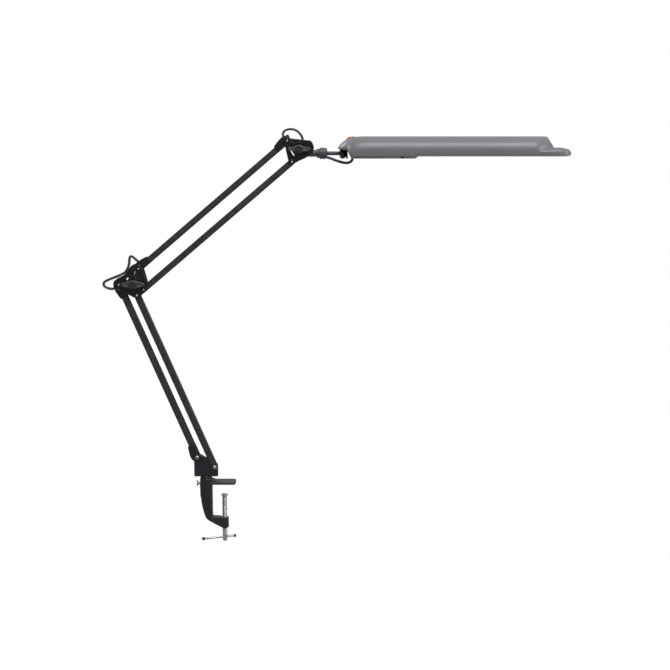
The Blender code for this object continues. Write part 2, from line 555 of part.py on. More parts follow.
STATIONS = [  # x, half width, rim height, top height, squareness of the section
    (251.6, 16, 736.0, 738.0, 2.3), (253.0, 25, 735.6, 740.6, 2.4), (256.0, 34, 735.0, 744.2, 2.5), (260.0, 41, 734.4, 748.4, 2.7),
    (265.0, 46.5, 733.8, 752.4, 2.9), (271.0, 50.6, 733.0, 755.4, 3.1), (277.0, 53.2, SHADE_BOT, 757.6, 3.4), (286.0, 54.8, SHADE_BOT, 759.8, 4.0),
    (300.0, 55, SHADE_BOT, SHADE_TOP, 4.6), (480.0, 55, SHADE_BOT, SHADE_TOP, 4.6), (662.0, 55, SHADE_BOT, SHADE_TOP, 4.6), (676.0, 55, SHADE_BOT, SHADE_TOP, 3.4),
    (688.0, 55, SHADE_BOT, SHADE_TOP, 2.4), (697.0, 55, SHADE_BOT, 760.4, 1.9), (705.0, 55, SHADE_BOT, 749.6, 1.9), (GRIP_X0, 54.6, SHADE_BOT, 738.2, 2.6),
    (722.0, 53.4, SHADE_BOT, GRIP_TOP, 6.0), (732.0, 50.0, SHADE_BOT, 736.8, 6.0), (738.0, 46.0, 721.4, 735.8, 4.5), (SHADE_X1, 40.0, 723.4, 732.4, 3.2),
]
HALF_RING = 8


def section(half, bot, top, square, inset):
    """Half ring from the rim on the -Y side, over the top, to the rim on the +Y side."""
    h = half - inset
    t = max(top - inset, bot + 0.4)
    knee = min(bot + 0.38 * (t - bot), GRIP_TOP - 1.0) if t - bot > 12 else bot + 0.3 * (t - bot)
    pts = []
    for i in range(HALF_RING * 2 + 1):
        a = math.pi * i / (HALF_RING * 2)
        c, s = math.cos(a), math.sin(a)
        e = 2.0 / square
        pts.append((-h * math.copysign(abs(c) ** e, c), knee + (t - knee) * abs(s) ** e))
    return [(-h, bot)] + pts + [(h, bot)]


def shell(stations, t, mat, name, where):
    bm = bmesh.new()

    def skin(inset, trim):
        out = []
        for k, (x, half, bot, top, sq) in enumerate(stations):
            x = min(max(x, stations[0][0] + trim), stations[-1][0] - trim) if k in (0, len(stations) - 1) else x
            out.append([bm.verts.new((x, y, z)) for y, z in section(half, bot, top, sq, inset)])
        return out

    outer = skin(0, 0)
    trimmed = [s for s in stations if stations[0][0] + t < s[0] < stations[-1][0] - t]
    full = stations
    stations = trimmed
    inner = skin(t, 0)
    stations = full
    for grid, flip in ((outer, False), (inner, True)):
        for a, b in zip(grid, grid[1:]):
            for i in range(len(a) - 1):
                f = (a[i], a[i + 1], b[i + 1], b[i])
                bm.faces.new(f[::-1] if flip else f)
        bm.faces.new(grid[0][::-1] if not flip else grid[0])
        bm.faces.new(grid[-1] if not flip else grid[-1][::-1])
    # rim: one strip on each side, then the two ends
    for side in (0, -1):
        o = [r[side] for r in outer]
        n = [r[side] for r in inner]
        # the outer skin has extra stations at both ends: fan them to the first and last inner ones
        first = [i for i, s in enumerate(full) if s[0] == trimmed[0][0]][0]
        last = [i for i, s in enumerate(full) if s[0] == trimmed[-1][0]][0]
        for i in range(first):
            bm.faces.new((o[i], o[i + 1], n[0]))
        for i in range(first, last):
            bm.faces.new((o[i], o[i + 1], n[i + 1 - first], n[i - first]))
        for i in range(last, len(o) - 1):
            bm.faces.new((o[i], o[i + 1], n[-1]))
    bm.faces.new((outer[0][0], inner[0][0], inner[0][-1], outer[0][-1]))
    bm.faces.new((outer[-1][0], outer[-1][-1], inner[-1][-1], inner[-1][0]))
    return finish(name, bm, mat, where, True)


shade = shell(STATIONS, SHADE_T, GRAPHITE, "shade", "head")
# opening for the rocker switch, square to the shoulder of the nose
SW = Matrix.Translation((278.3, 0, 756.7)) @ Matrix.Rotation(math.radians(-18), 4, "Y")
cut(shade, box("switch_opening", (-10.8, -9.2, -8), (10.8, 9.2, 8), None, "head", SW, True))
switch = box("switch_body", (-10.4, -8.8, -12.0), (10.4, 8.8, 1.2), PLASTIC, "head", SW)
cut(switch, box("switch_well", (-9.3, -7.5, -5.2), (9.3, 7.5, 6), None, "head", SW, True))
rocker = [(-8.3, -0.2), (-8.4, 1.4), (-6.5, 3.3), (-3.5, 4.6), (2.0, 3.8), (8.5, 1.9), (8.2, -1.6), (2.2, -3.8), (-2.2, -3.6)]
prism("switch_rocker", rocker, -7.0, 7.0, ORANGE, "rocker", SW)

cover = box("electronics_cover", (COVER_X0, -COVER_HALF, COVER_BOT), (COVER_X1, COVER_HALF, 738.0), WARM, "head")
cut(cover, box("cover_hollow", (COVER_X0 + 2, -COVER_HALF + 2, COVER_BOT + 2), (COVER_X1 - 2, COVER_HALF - 2, 760), None, "head", cutter=True))
cut(cover, prism("cover_chamfer", [(COVER_X1 - 6.2, COVER_BOT - 2), (COVER_X1 + 4, COVER_BOT - 2), (COVER_X1 + 4, COVER_BOT + 8.4), (COVER_X1 - 0.2, COVER_BOT + 4.2)], -60, 60, None, "head", cutter=True))
drill(cover, 1.6, (387.0, 0, 718.9), "Y", -60, -44, "head", 12)
turned("cover_screw", [(0, -50.6), (2.0, -50.6), (2.3, -50.3 - 0.05), (1.3, -50.3), (1.3, -45.5), (0, -45.5)], (387.0, 0, 718.9), "Y", ZINC, "head", 12)
box("ballast", (296, -21, 722), (400, 21, 750), WHITE, "head")
box("tube_socket", (COVER_X1 + 0.6, -20, 731), (434.0, 20, 753.5), WHITE, "head")
box("tube_base", (434.4, -19, 733.5), (452.0, 19, 751.5), WHITE, "head")
glass = turned("fluorescent_tube", [(0, 452.4), (8.7, 452.4), (8.7, 655), (6.5, 660), (0, 662)], (0, -10.6, 742.5), "X", GLASS, "head", 16)
limb = turned("tube_limb", [(0, 452.4), (8.7, 452.4), (8.7, 655), (6.5, 660), (0, 662)], (0, 10.6, 742.5), "X", None, "head", 16, True)
link = turned("tube_link", rod_profile(5.0, -8, 8), (650, 0, 742.5), "Y", None, "head", 12, True)
cut(glass, limb, "UNION")
cut(glass, link, "UNION")
wall = 0.9
fold = [(-47.5, 723.5), (-31, 753.6), (31, 753.6), (47.5, 723.5)]
inner_fold = [(-46.4, 723.5), (-30.4, 752.7), (30.4, 752.7), (46.4, 723.5)]
refl = bmesh.new()
ring = fold + inner_fold[::-1]
ra = [refl.verts.new((COVER_X1 + 16, y, z)) for y, z in ring]
rb = [refl.verts.new((670.0, y, z)) for y, z in ring]
refl.faces.new(ra)
refl.faces.new(rb[::-1])
for i in range(len(ring)):
    j = (i + 1) % len(ring)
    refl.faces.new((ra[i], rb[i], rb[j], ra[j]))
finish("reflector", refl, BRIGHT, "head")
# clip: a strap over the tubes with two fingers
clip = bmesh.new()
strap = [(-22.4, 738), (-21.2, 752.3), (21.2, 752.3), (22.4, 738), (20.6, 738), (19.9, 751.5), (-19.9, 751.5), (-20.6, 738)]
ca = [clip.verts.new((616.0, y, z)) for y, z in strap]
cb = [clip.verts.new((624.0, y, z)) for y, z in strap]
clip.faces.new(ca)
clip.faces.new(cb[::-1])
for i in range(len(strap)):
    j = (i + 1) % len(strap)
    clip.faces.new((ca[i], cb[i], cb[j], ca[j]))
finish("tube_clip", clip, BRIGHT, "head")

# ---- cables: flat lead between the bars, the elbow and the head -----------------------------------------
cable("cable_elbow_lower", [(E1.x + x, 0, E1.y + z) for x, z in ((-11.9, -8.3), (-16.0, -9.6), (-24.5, -8.0), (-31.4, -4.8), (-35.0, 0.2), (-32.0, 5.4),
                                                              (-24.2, 9.7), (-14.8, 13.6), (-5.0, 17.4), (4.2, 21.6))], "lower_outer")
cable("cable_elbow_upper", [(E3.x + x, 0, E3.y + z) for x, z in ((-38.2, -12.6), (-30.0, -7.6), (-24.2, 1.2), (-21.2, 11.6), (-20.4, 20.6), (-18.6, 25.6),
                                                              (-14.6, 26.2), (-9.4, 22.4), (-2.8, 16.4))], "upper_outer")
cable("cable_top", [(K2.x + x, 0, K2.y + z) for x, z in ((-33.7, 27.4), (-34.6, 31.6), (-32.0, 36.6), (-26.2, 40.2), (-17.4, 41.6), (-8.0, 39.4), (-0.6, 33.4), (4.6, 26.4),
                                                         (7.0, 19.4))], "upper_outer")
cable("cable_head", [(x, 0, z) for x, z in ((229.0, 716.9), (236.4, 714.6), (246, 710.8), (256, 707.6), (265, 705.5), (272.6, 705.4), (278.6, 707.8), (281.8, 711.6),
                                            (282.4, 715.2))], "rod")
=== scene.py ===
"""Looks of the architect desk lamp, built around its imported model.

Lengths are written in millimetres and scaled once, by MM, when a piece is settled on its body.
"""

import math

import bmesh
import bpy
import numpy as np
from mathutils import Matrix, Vector


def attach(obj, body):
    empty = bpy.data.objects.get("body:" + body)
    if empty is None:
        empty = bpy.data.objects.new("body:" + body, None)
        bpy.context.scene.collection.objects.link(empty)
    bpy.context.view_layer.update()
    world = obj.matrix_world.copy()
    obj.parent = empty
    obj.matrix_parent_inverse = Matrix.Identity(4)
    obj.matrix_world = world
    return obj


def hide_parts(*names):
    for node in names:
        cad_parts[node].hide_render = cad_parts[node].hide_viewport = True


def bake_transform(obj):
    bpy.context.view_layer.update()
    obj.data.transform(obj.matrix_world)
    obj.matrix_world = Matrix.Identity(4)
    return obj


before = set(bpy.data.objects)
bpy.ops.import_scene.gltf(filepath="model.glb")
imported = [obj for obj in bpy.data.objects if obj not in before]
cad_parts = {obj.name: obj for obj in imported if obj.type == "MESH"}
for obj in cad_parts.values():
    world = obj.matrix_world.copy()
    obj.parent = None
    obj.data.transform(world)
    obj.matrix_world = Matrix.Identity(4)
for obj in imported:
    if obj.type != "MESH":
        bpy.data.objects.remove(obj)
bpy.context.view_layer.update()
scene = bpy.context.scene
MM = 0.001
GAP = 0.3

# ---- the design's own dimensions, in millimetres ------------------------------------
SWIVEL_X = -40.0
SPINDLE_R = 5.2
TOMMY_Z, TOMMY_R, TOMMY_TURN = -122.8, 2.3, math.radians(19.0)
BRACKET_BOT, BRACKET_OUT, BRACKET_IN = 16.5, 5.9, 3.9
LOWER_LEN, LOWER_LEAN = 416.0, math.radians(23.0)
UPPER_LEN, UPPER_RISE = 422.5, math.radians(40.4)
BAR_W, BAR_HALF_Y, BAR_WALL, WEB_CUT, SLEEVE_Y = 13.5, 7.5, 1.2, 12.0, 9.0
PLATE_IN, PLATE_OUT = 9.4, 12.4
ROD_Z, PAN_X = 725.5, 261.7
LOWER_DIR = Vector((-math.sin(LOWER_LEAN), math.cos(LOWER_LEAN)))
UPPER_DIR = Vector((math.cos(UPPER_RISE), math.sin(UPPER_RISE)))
B1 = Vector((-59.0, 60.8))
B2 = B1 + Vector((38.2, -23.3))
E1 = B1 + LOWER_LEN * LOWER_DIR
E2 = E1 + (B2 - B1)
E3 = E1 + Vector((43.2, 34.6))
E4 = E3 + Vector((9.85, -44.8))
H3 = E3 + UPPER_LEN * UPPER_DIR
H4 = H3 + (E4 - E3)
K1 = E1 + Vector((31.5, 1.7))
K2 = H3 + Vector((25.35, -17.1))


# =====================================================================================
# materials
# =====================================================================================
def surface(name, rgb, rough, metal=0.0, vary=0.12, rough_vary=0.08, grain=(900.0, 0.25, 0.00012), streak=None,
            wear=None, coat=0.0, coat_rough=0.1, spec=0.5, fleck=None, large=28.0):
    """A procedural finish. grain is the fine surface relief: scale per metre, strength, height in metres."""
    m = bpy.data.materials.new(name)
    m.use_nodes = True
    t = m.node_tree
    n, link = t.nodes, t.links.new
    p = n["Principled BSDF"]
    p.inputs["Metallic"].default_value = metal
    p.inputs["Specular IOR Level"].default_value = spec
    p.inputs["Coat Weight"].default_value = coat
    p.inputs["Coat Roughness"].default_value = coat_rough
    co = n.new("ShaderNodeTexCoord")
    src = co.outputs["Object"]
    if streak:
        mp = n.new("ShaderNodeMapping")
        mp.inputs["Rotation"].default_value = streak[0]
        mp.inputs["Scale"].default_value = streak[1]
        link(src, mp.inputs["Vector"])
        fine_src = mp.outputs["Vector"]
    else:
        fine_src = src

    def noise(vec, scale, detail=3.0, roughness=0.55):
        k = n.new("ShaderNodeTexNoise")
        k.inputs["Scale"].default_value = scale
        k.inputs["Detail"].default_value = detail
        k.inputs["Roughness"].default_value = roughness
        link(vec, k.inputs["Vector"])
        return k.outputs["Fac"]

    def span(value, lo, hi, out_lo, out_hi):
        k = n.new("ShaderNodeMapRange")
        k.inputs["From Min"].default_value = lo
        k.inputs["From Max"].default_value = hi
        k.inputs["To Min"].default_value = out_lo
        k.inputs["To Max"].default_value = out_hi
        link(value, k.inputs["Value"])
        return k.outputs["Result"]

    def mix(fac, a, b, kind="MIX"):
        k = n.new("ShaderNodeMix")
        k.data_type = "RGBA"
        k.blend_type = kind
        if isinstance(fac, float):
            k.inputs["Factor"].default_value = fac
        else:
            link(fac, k.inputs["Factor"])
        for value, socket in ((a, k.inputs[6]), (b, k.inputs[7])):
            if isinstance(value, tuple):
                socket.default_value = (*value, 1.0)
            else:
                link(value, socket)
        return k.outputs[2]

    dark = tuple(c * (1 - vary) for c in rgb)
    light = tuple(min(1.0, c * (1 + vary)) for c in rgb)
    broad = noise(src, large, 4.0)
    colour = mix(span(broad, 0.3, 0.7, 0.0, 1.0), dark, light)
    if streak:
        colour = mix(span(noise(fine_src, 260.0, 4.0), 0.35, 0.65, 0.0, 0.55), colour, tuple(c * 0.72 for c in rgb))
    if fleck:
        v = n.new("ShaderNodeTexVoronoi")
        v.inputs["Scale"].default_value = fleck[0]
        link(src, v.inputs["Vector"])
        colour = mix(span(v.outputs["Distance"], 0.0, 0.32, fleck[1], 0.0), colour, tuple(min(1.0, c * fleck[2]) for c in rgb))
    if wear:
        geo = n.new("ShaderNodeNewGeometry")
        edge = span(geo.outputs["Pointiness"], 0.515, 0.585, 0.0, 1.0)
        k = n.new("ShaderNodeMath")
        k.operation = "MULTIPLY"
        link(edge, k.inputs[0])
        link(span(noise(src, 160.0, 5.0, 0.7), 0.42, 0.62, 0.0, wear[0]), k.inputs[1])
        colour = mix(k.outputs["Value"], colour, wear[1])
    link(colour, p.inputs["Base Color"])
    r = span(noise(src, large * 3.1, 5.0, 0.6), 0.3, 0.7, max(0.02, rough - rough_vary), min(1.0, rough + rough_vary))
    link(r, p.inputs["Roughness"])
    bump = n.new("ShaderNodeBump")
    bump.inputs["Strength"].default_value = grain[1]
    bump.inputs["Distance"].default_value = grain[2]
    link(noise(fine_src, grain[0], 2.5, 0.6), bump.inputs["Height"])
    link(bump.outputs["Normal"], p.inputs["Normal"])
    m.diffuse_color = (*rgb, 1.0)
    return m


CAST = surface("cast_enamel", (0.011, 0.011, 0.014), 0.34, vary=0.25, grain=(420.0, 0.5, 0.00035), coat=0.25, coat_rough=0.25,
               wear=(0.5, (0.09, 0.09, 0.095)), large=40.0)
PAD = surface("worn_jaw_enamel", (0.040, 0.040, 0.043), 0.4, vary=0.2, grain=(420.0, 0.4, 0.0003), wear=(0.5, (0.12, 0.12, 0.125)), large=40.0)
FOLDED = surface("bracket_enamel", (0.012, 0.011, 0.018), 0.3, vary=0.2, grain=(700.0, 0.3, 0.0002), coat=0.3, coat_rough=0.2,
                 wear=(0.45, (0.11, 0.11, 0.12)))
POWDER = surface("powder_coat", (0.021, 0.021, 0.023), 0.46, vary=0.18, rough_vary=0.07, grain=(1100.0, 0.5, 0.00022), spec=0.55,
                 wear=(0.35, (0.10, 0.10, 0.105)), fleck=(900.0, 0.16, 4.0))
PLASTIC = surface("black_plastic", (0.013, 0.013, 0.016), 0.32, vary=0.15, grain=(1500.0, 0.22, 0.0001), wear=(0.25, (0.06, 0.06, 0.065)))
GLOSS = surface("glossy_black_plastic", (0.010, 0.010, 0.013), 0.18, vary=0.15, rough_vary=0.06, grain=(260.0, 0.12, 0.0002), coat=0.4, coat_rough=0.08)
KNOB = surface("knob_plastic", (0.060, 0.056, 0.055), 0.47, vary=0.1, grain=(1300.0, 0.35, 0.00015), wear=(0.3, (0.15, 0.145, 0.14)))
HUB = surface("knob_hub_plastic", (0.026, 0.021, 0.018), 0.5, vary=0.15, grain=(1300.0, 0.3, 0.00012))
SLATE = surface("slate_plastic", (0.058, 0.070, 0.082), 0.42, vary=0.08, grain=(1200.0, 0.3, 0.00012), wear=(0.3, (0.14, 0.155, 0.17)))
ALONG_Z = ((0.0, 0.0, 0.0), (1.0, 1.0, 0.06))
ALONG_X = ((0.0, 0.0, 0.0), (0.06, 1.0, 1.0))
ZINC = surface("zinc_plate", (0.55, 0.56, 0.58), 0.3, 1.0, vary=0.12, rough_vary=0.1, grain=(900.0, 0.18, 0.0001), streak=ALONG_Z)
ZINC_X = surface("zinc_plate_drawn", (0.56, 0.56, 0.58), 0.27, 1.0, vary=0.1, rough_vary=0.09, grain=(900.0, 0.16, 0.0001), streak=ALONG_X)
RIVET = surface("nickel_rivet", (0.50, 0.50, 0.51), 0.26, 1.0, vary=0.08, rough_vary=0.08, grain=(700.0, 0.15, 0.0001), large=160.0)
SPRING = surface("spring_wire", (0.42, 0.42, 0.43), 0.32, 1.0, vary=0.2, grain=(1500.0, 0.2, 0.0001))
GRAPHITE = surface("graphite_paint", (0.142, 0.147, 0.157), 0.40, vary=0.05, rough_vary=0.05, grain=(1400.0, 0.12, 0.00004), coat=0.12,
                   coat_rough=0.35, large=9.0)
WARM = surface("warm_grey_plastic", (0.40, 0.375, 0.37), 0.5, vary=0.05, grain=(1500.0, 0.4, 0.00012), wear=(0.25, (0.34, 0.33, 0.32)))
ORANGE = surface("orange_plastic", (0.56, 0.165, 0.06), 0.35, vary=0.07, grain=(1400.0, 0.2, 0.00008), coat=0.3, coat_rough=0.2)
SHEATH = surface("flat_lead_sheath", (0.085, 0.085, 0.090), 0.45, vary=0.12, grain=(1600.0, 0.3, 0.0001), large=60.0)
WHITE = surface("white_plastic", (0.74, 0.74, 0.72), 0.42, vary=0.04, grain=(1400.0, 0.25, 0.0001))
TUBE = surface("phosphor_glass", (0.86, 0.88, 0.89), 0.5, vary=0.02, grain=(300.0, 0.05, 0.0001), coat=1.0, coat_rough=0.03)
BRIGHT = surface("bright_aluminium", (0.83, 0.84, 0.85), 0.16, 1.0, vary=0.04, rough_vary=0.06, grain=(900.0, 0.12, 0.00008), streak=ALONG_X)


# =====================================================================================
# mesh helpers: pieces are modelled in millimetres, then settled
# =====================================================================================
def make(name, bm):
    bmesh.ops.remove_doubles(bm, verts=bm.verts, dist=1e-4)
    bmesh.ops.recalc_face_normals(bm, faces=bm.faces)
    me = bpy.data.meshes.new(name)
    bm.to_mesh(me)
    bm.free()
    o = bpy.data.objects.new(name, me)
    scene.collection.objects.link(o)
    return o


def flatten(o):
    """Apply every modifier."""
    dg = bpy.context.evaluated_depsgraph_get()
    dg.update()
    me = bpy.data.meshes.new_from_object(o.evaluated_get(dg))
    old = o.data
    o.modifiers.clear()
    if o.type == "MESH":
        o.data = me
        bpy.data.meshes.remove(old)
        return o
    n = bpy.data.objects.new(o.name, me)
    name = o.name
    bpy.data.objects.remove(o, do_unlink=True)
    n.name = name
    scene.collection.objects.link(n)
    return n


def combine(target, tools, op):
    for tool in tools:
        m = target.modifiers.new(op, "BOOLEAN")
        m.operation = op
        m.solver = "EXACT"
        m.material_mode = "TRANSFER"
        m.object = tool
    flatten(target)
    for tool in tools:
        bpy.data.objects.remove(tool, do_unlink=True)
    return target


def cut(target, *tools):
    return combine(target, tools, "DIFFERENCE")


def add(target, *tools):
    return combine(target, tools, "UNION")


def bevel(o, width, seg=2, angle=40):
    m = o.modifiers.new("edge", "BEVEL")
    m.width = width
    m.segments = seg
    m.limit_method = "ANGLE"
    m.angle_limit = math.radians(angle)
    m.use_clamp_overlap = True
    return flatten(o)


def fillets(o, voxel, rounds):
    """Moulded or cast softness: an even mesh whose edges relax into small radii."""
    m = o.modifiers.new("even", "REMESH")
    m.mode = "VOXEL"
    m.voxel_size = voxel
    m = o.modifiers.new("relax", "SMOOTH")
    m.factor = 0.5
    m.iterations = rounds
    return flatten(o)


def tint(o, mat):
    o.data.materials.clear()
    o.data.materials.append(mat)
    return o


def settle(o, mat, body, nodes, sharp=35, m=None):
    if m is not None:
        o.data.transform(m)
    o.data.transform(Matrix.Scale(MM, 4))
    if mat is not None:
        tint(o, mat)
    o.data.shade_smooth()
    o.data.set_sharp_from_angle(angle=math.radians(sharp))
    if body:
        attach(o, body)
    if nodes:
        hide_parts(*nodes)
    return o


def place_xz(origin, direction):
    s = Vector((direction.x, 0, direction.y))
    n = Vector((-direction.y, 0, direction.x))
    return Matrix(((s.x, 0, n.x, origin.x), (0, 1, 0, 0), (s.z, 0, n.z, origin.y), (0, 0, 0, 1)))


AXES = {
    "X": Matrix(((0, 0, 1, 0), (1, 0, 0, 0), (0, 1, 0, 0), (0, 0, 0, 1))),
    "Y": Matrix(((1, 0, 0, 0), (0, 0, 1, 0), (0, 1, 0, 0), (0, 0, 0, 1))),
    "Z": Matrix.Identity(4),
}


def block(name, lo, hi, m=None):
    bm = bmesh.new()
    bmesh.ops.create_cube(bm, size=1.0)
    s = Vector(hi) - Vector(lo)
    bm.transform(Matrix.Translation((Vector(hi) + Vector(lo)) / 2) @ Matrix.Diagonal((*s, 1)))
    if m is not None:
        bm.transform(m)
    return make(name, bm)


def turned(name, profile, centre, axis="Z", seg=48, soft=0.0, m=None):
    """Revolve (radius, height) pairs. soft rounds each corner of the profile by up to that much."""
    if soft:
        profile = round_open(profile, soft)
    bm = bmesh.new()
    rings = []
    for r, h in profile:
        if r < 1e-6:
            rings.append([bm.verts.new((0, 0, h))])
        else:
            rings.append([bm.verts.new((r * math.cos(2 * math.pi * k / seg), r * math.sin(2 * math.pi * k / seg), h)) for k in range(seg)])
    loop = len(rings[0]) > 1 and len(rings[-1]) > 1
    for a, b in list(zip(rings, rings[1:])) + ([(rings[-1], rings[0])] if loop else []):
        for k in range(seg):
            j = (k + 1) % seg
            if len(a) == 1 and len(b) == 1:
                continue
            if len(a) == 1:
                bm.faces.new((a[0], b[k], b[j]))
            elif len(b) == 1:
                bm.faces.new((a[k], a[j], b[0]))
            else:
                bm.faces.new((a[k], a[j], b[j], b[k]))
    bm.transform(Matrix.Translation(Vector(centre)) @ AXES[axis])
    if m is not None:
        bm.transform(m)
    return make(name, bm)


def rod(name, r, h0, h1, centre, axis="Z", seg=32, m=None):
    return turned(name, [(0, h0), (r, h0), (r, h1), (0, h1)], centre, axis, seg, m=m)


def corner(a, b, c, t, n):
    """Points that round corner b of the path a, b, c, starting t before it."""
    a, b, c = Vector(a), Vector(b), Vector(c)
    u, v = a - b, c - b
    k = min(t, 0.48 * u.length, 0.48 * v.length)
    p, q = b + u.normalized() * k, b + v.normalized() * k
    return [tuple(p.lerp(b, i / n).lerp(b.lerp(q, i / n), i / n)) for i in range(n + 1)]


def round_loop(pts, t, n=5):
    out = []
    for i in range(len(pts)):
        out += corner(pts[i - 1], pts[i], pts[(i + 1) % len(pts)], t, n)
    return out


def round_open(pts, t, n=4):
    out = [pts[0]]
    for i in range(1, len(pts) - 1):
        out += corner(pts[i - 1], pts[i], pts[i + 1], t, n)
    return out + [pts[-1]]


def inset(pts, d):
    """The loop moved inwards by d."""
    area = sum(a[0] * b[1] - b[0] * a[1] for a, b in zip(pts, pts[1:] + pts[:1]))
    sign = 1 if area > 0 else -1
    out = []
    for i in range(len(pts)):
        a, b, c = Vector(pts[i - 1]), Vector(pts[i]), Vector(pts[(i + 1) % len(pts)])
        e, f = (b - a), (c - b)
        if e.length < 1e-6 or f.length < 1e-6:
            continue
        e.normalize()
        f.normalize()
        n = Vector((-(e.y + f.y), e.x + f.x)).normalized() * sign
        s = max(0.5, math.sqrt(max(0.0, (1 + e.dot(f)) / 2)))
        out.append(tuple(b + n * d / s))
    return out


def ring(c, r, n=28):
    return [(c[0] + r * math.cos(2 * math.pi * i / n), c[1] + r * math.sin(2 * math.pi * i / n)) for i in range(n)]


def arc(cx, cz, r, a0, a1, n):
    return [(cx + r * math.cos(math.radians(a0 + (a1 - a0) * i / n)), cz + r * math.sin(math.radians(a0 + (a1 - a0) * i / n))) for i in range(n + 1)]


def capsule(p, q, r, n=9):
    a = math.degrees(math.atan2(q[1] - p[1], q[0] - p[0]))
    return arc(q[0], q[1], r, a - 90, a + 90, n) + arc(p[0], p[1], r, a + 90, a + 270, n)


def slab(name, loops, y0, y1, r, seg=3):
    """A plate in the x-z plane from y0 to y1, its rims rounded by r. The first loop is the outline, the rest are holes."""
    cu = bpy.data.curves.new(name, "CURVE")
    cu.dimensions = "2D"
    cu.fill_mode = "BOTH"
    for pts in loops:
        s = cu.splines.new("POLY")
        s.points.add(len(pts) - 1)
        for q, (x, z) in zip(s.points, pts):
            q.co = (x, z, 0, 1)
        s.use_cyclic_u = True
    cu.extrude = abs(y1 - y0) / 2 - r
    cu.bevel_depth = r
    cu.bevel_resolution = seg
    cu.offset = -r
    o = bpy.data.objects.new(name, cu)
    scene.collection.objects.link(o)
    o = flatten(o)
    bm = bmesh.new()
    bm.from_mesh(o.data)
    bm.transform(Matrix.Translation((0, (y0 + y1) / 2, 0)) @ Matrix(((1, 0, 0, 0), (0, 0, -1, 0), (0, 1, 0, 0), (0, 0, 0, 1))))
    bmesh.ops.remove_doubles(bm, verts=bm.verts, dist=2e-3)
    bmesh.ops.recalc_face_normals(bm, faces=bm.faces)
    bm.to_mesh(o.data)
    bm.free()
    return o


def spline(points, step):
    p = [Vector(q) for q in points]
    p = [2 * p[0] - p[1]] + p + [2 * p[-1] - p[-2]]
    fine = []
    for i in range(1, len(p) - 2):
        for k in range(24):
            t = k / 24
            fine.append(0.5 * ((2 * p[i]) + (p[i + 1] - p[i - 1]) * t + (2 * p[i - 1] - 5 * p[i] + 4 * p[i + 1] - p[i + 2]) * t * t
                               + (3 * p[i] - 3 * p[i + 1] + p[i + 2] - p[i - 1]) * t ** 3))
    fine.append(p[-2])
    length = sum((b - a).length for a, b in zip(fine, fine[1:]))
    count = max(4, round(length / step))
    out, walked, k = [fine[0]], 0.0, 0
    for i in range(1, count):
        want = length * i / count
        while walked + (fine[k + 1] - fine[k]).length < want:
            walked += (fine[k + 1] - fine[k]).length
            k += 1
        out.append(fine[k].lerp(fine[k + 1], (want - walked) / (fine[k + 1] - fine[k]).length))
    return out + [fine[-1]]


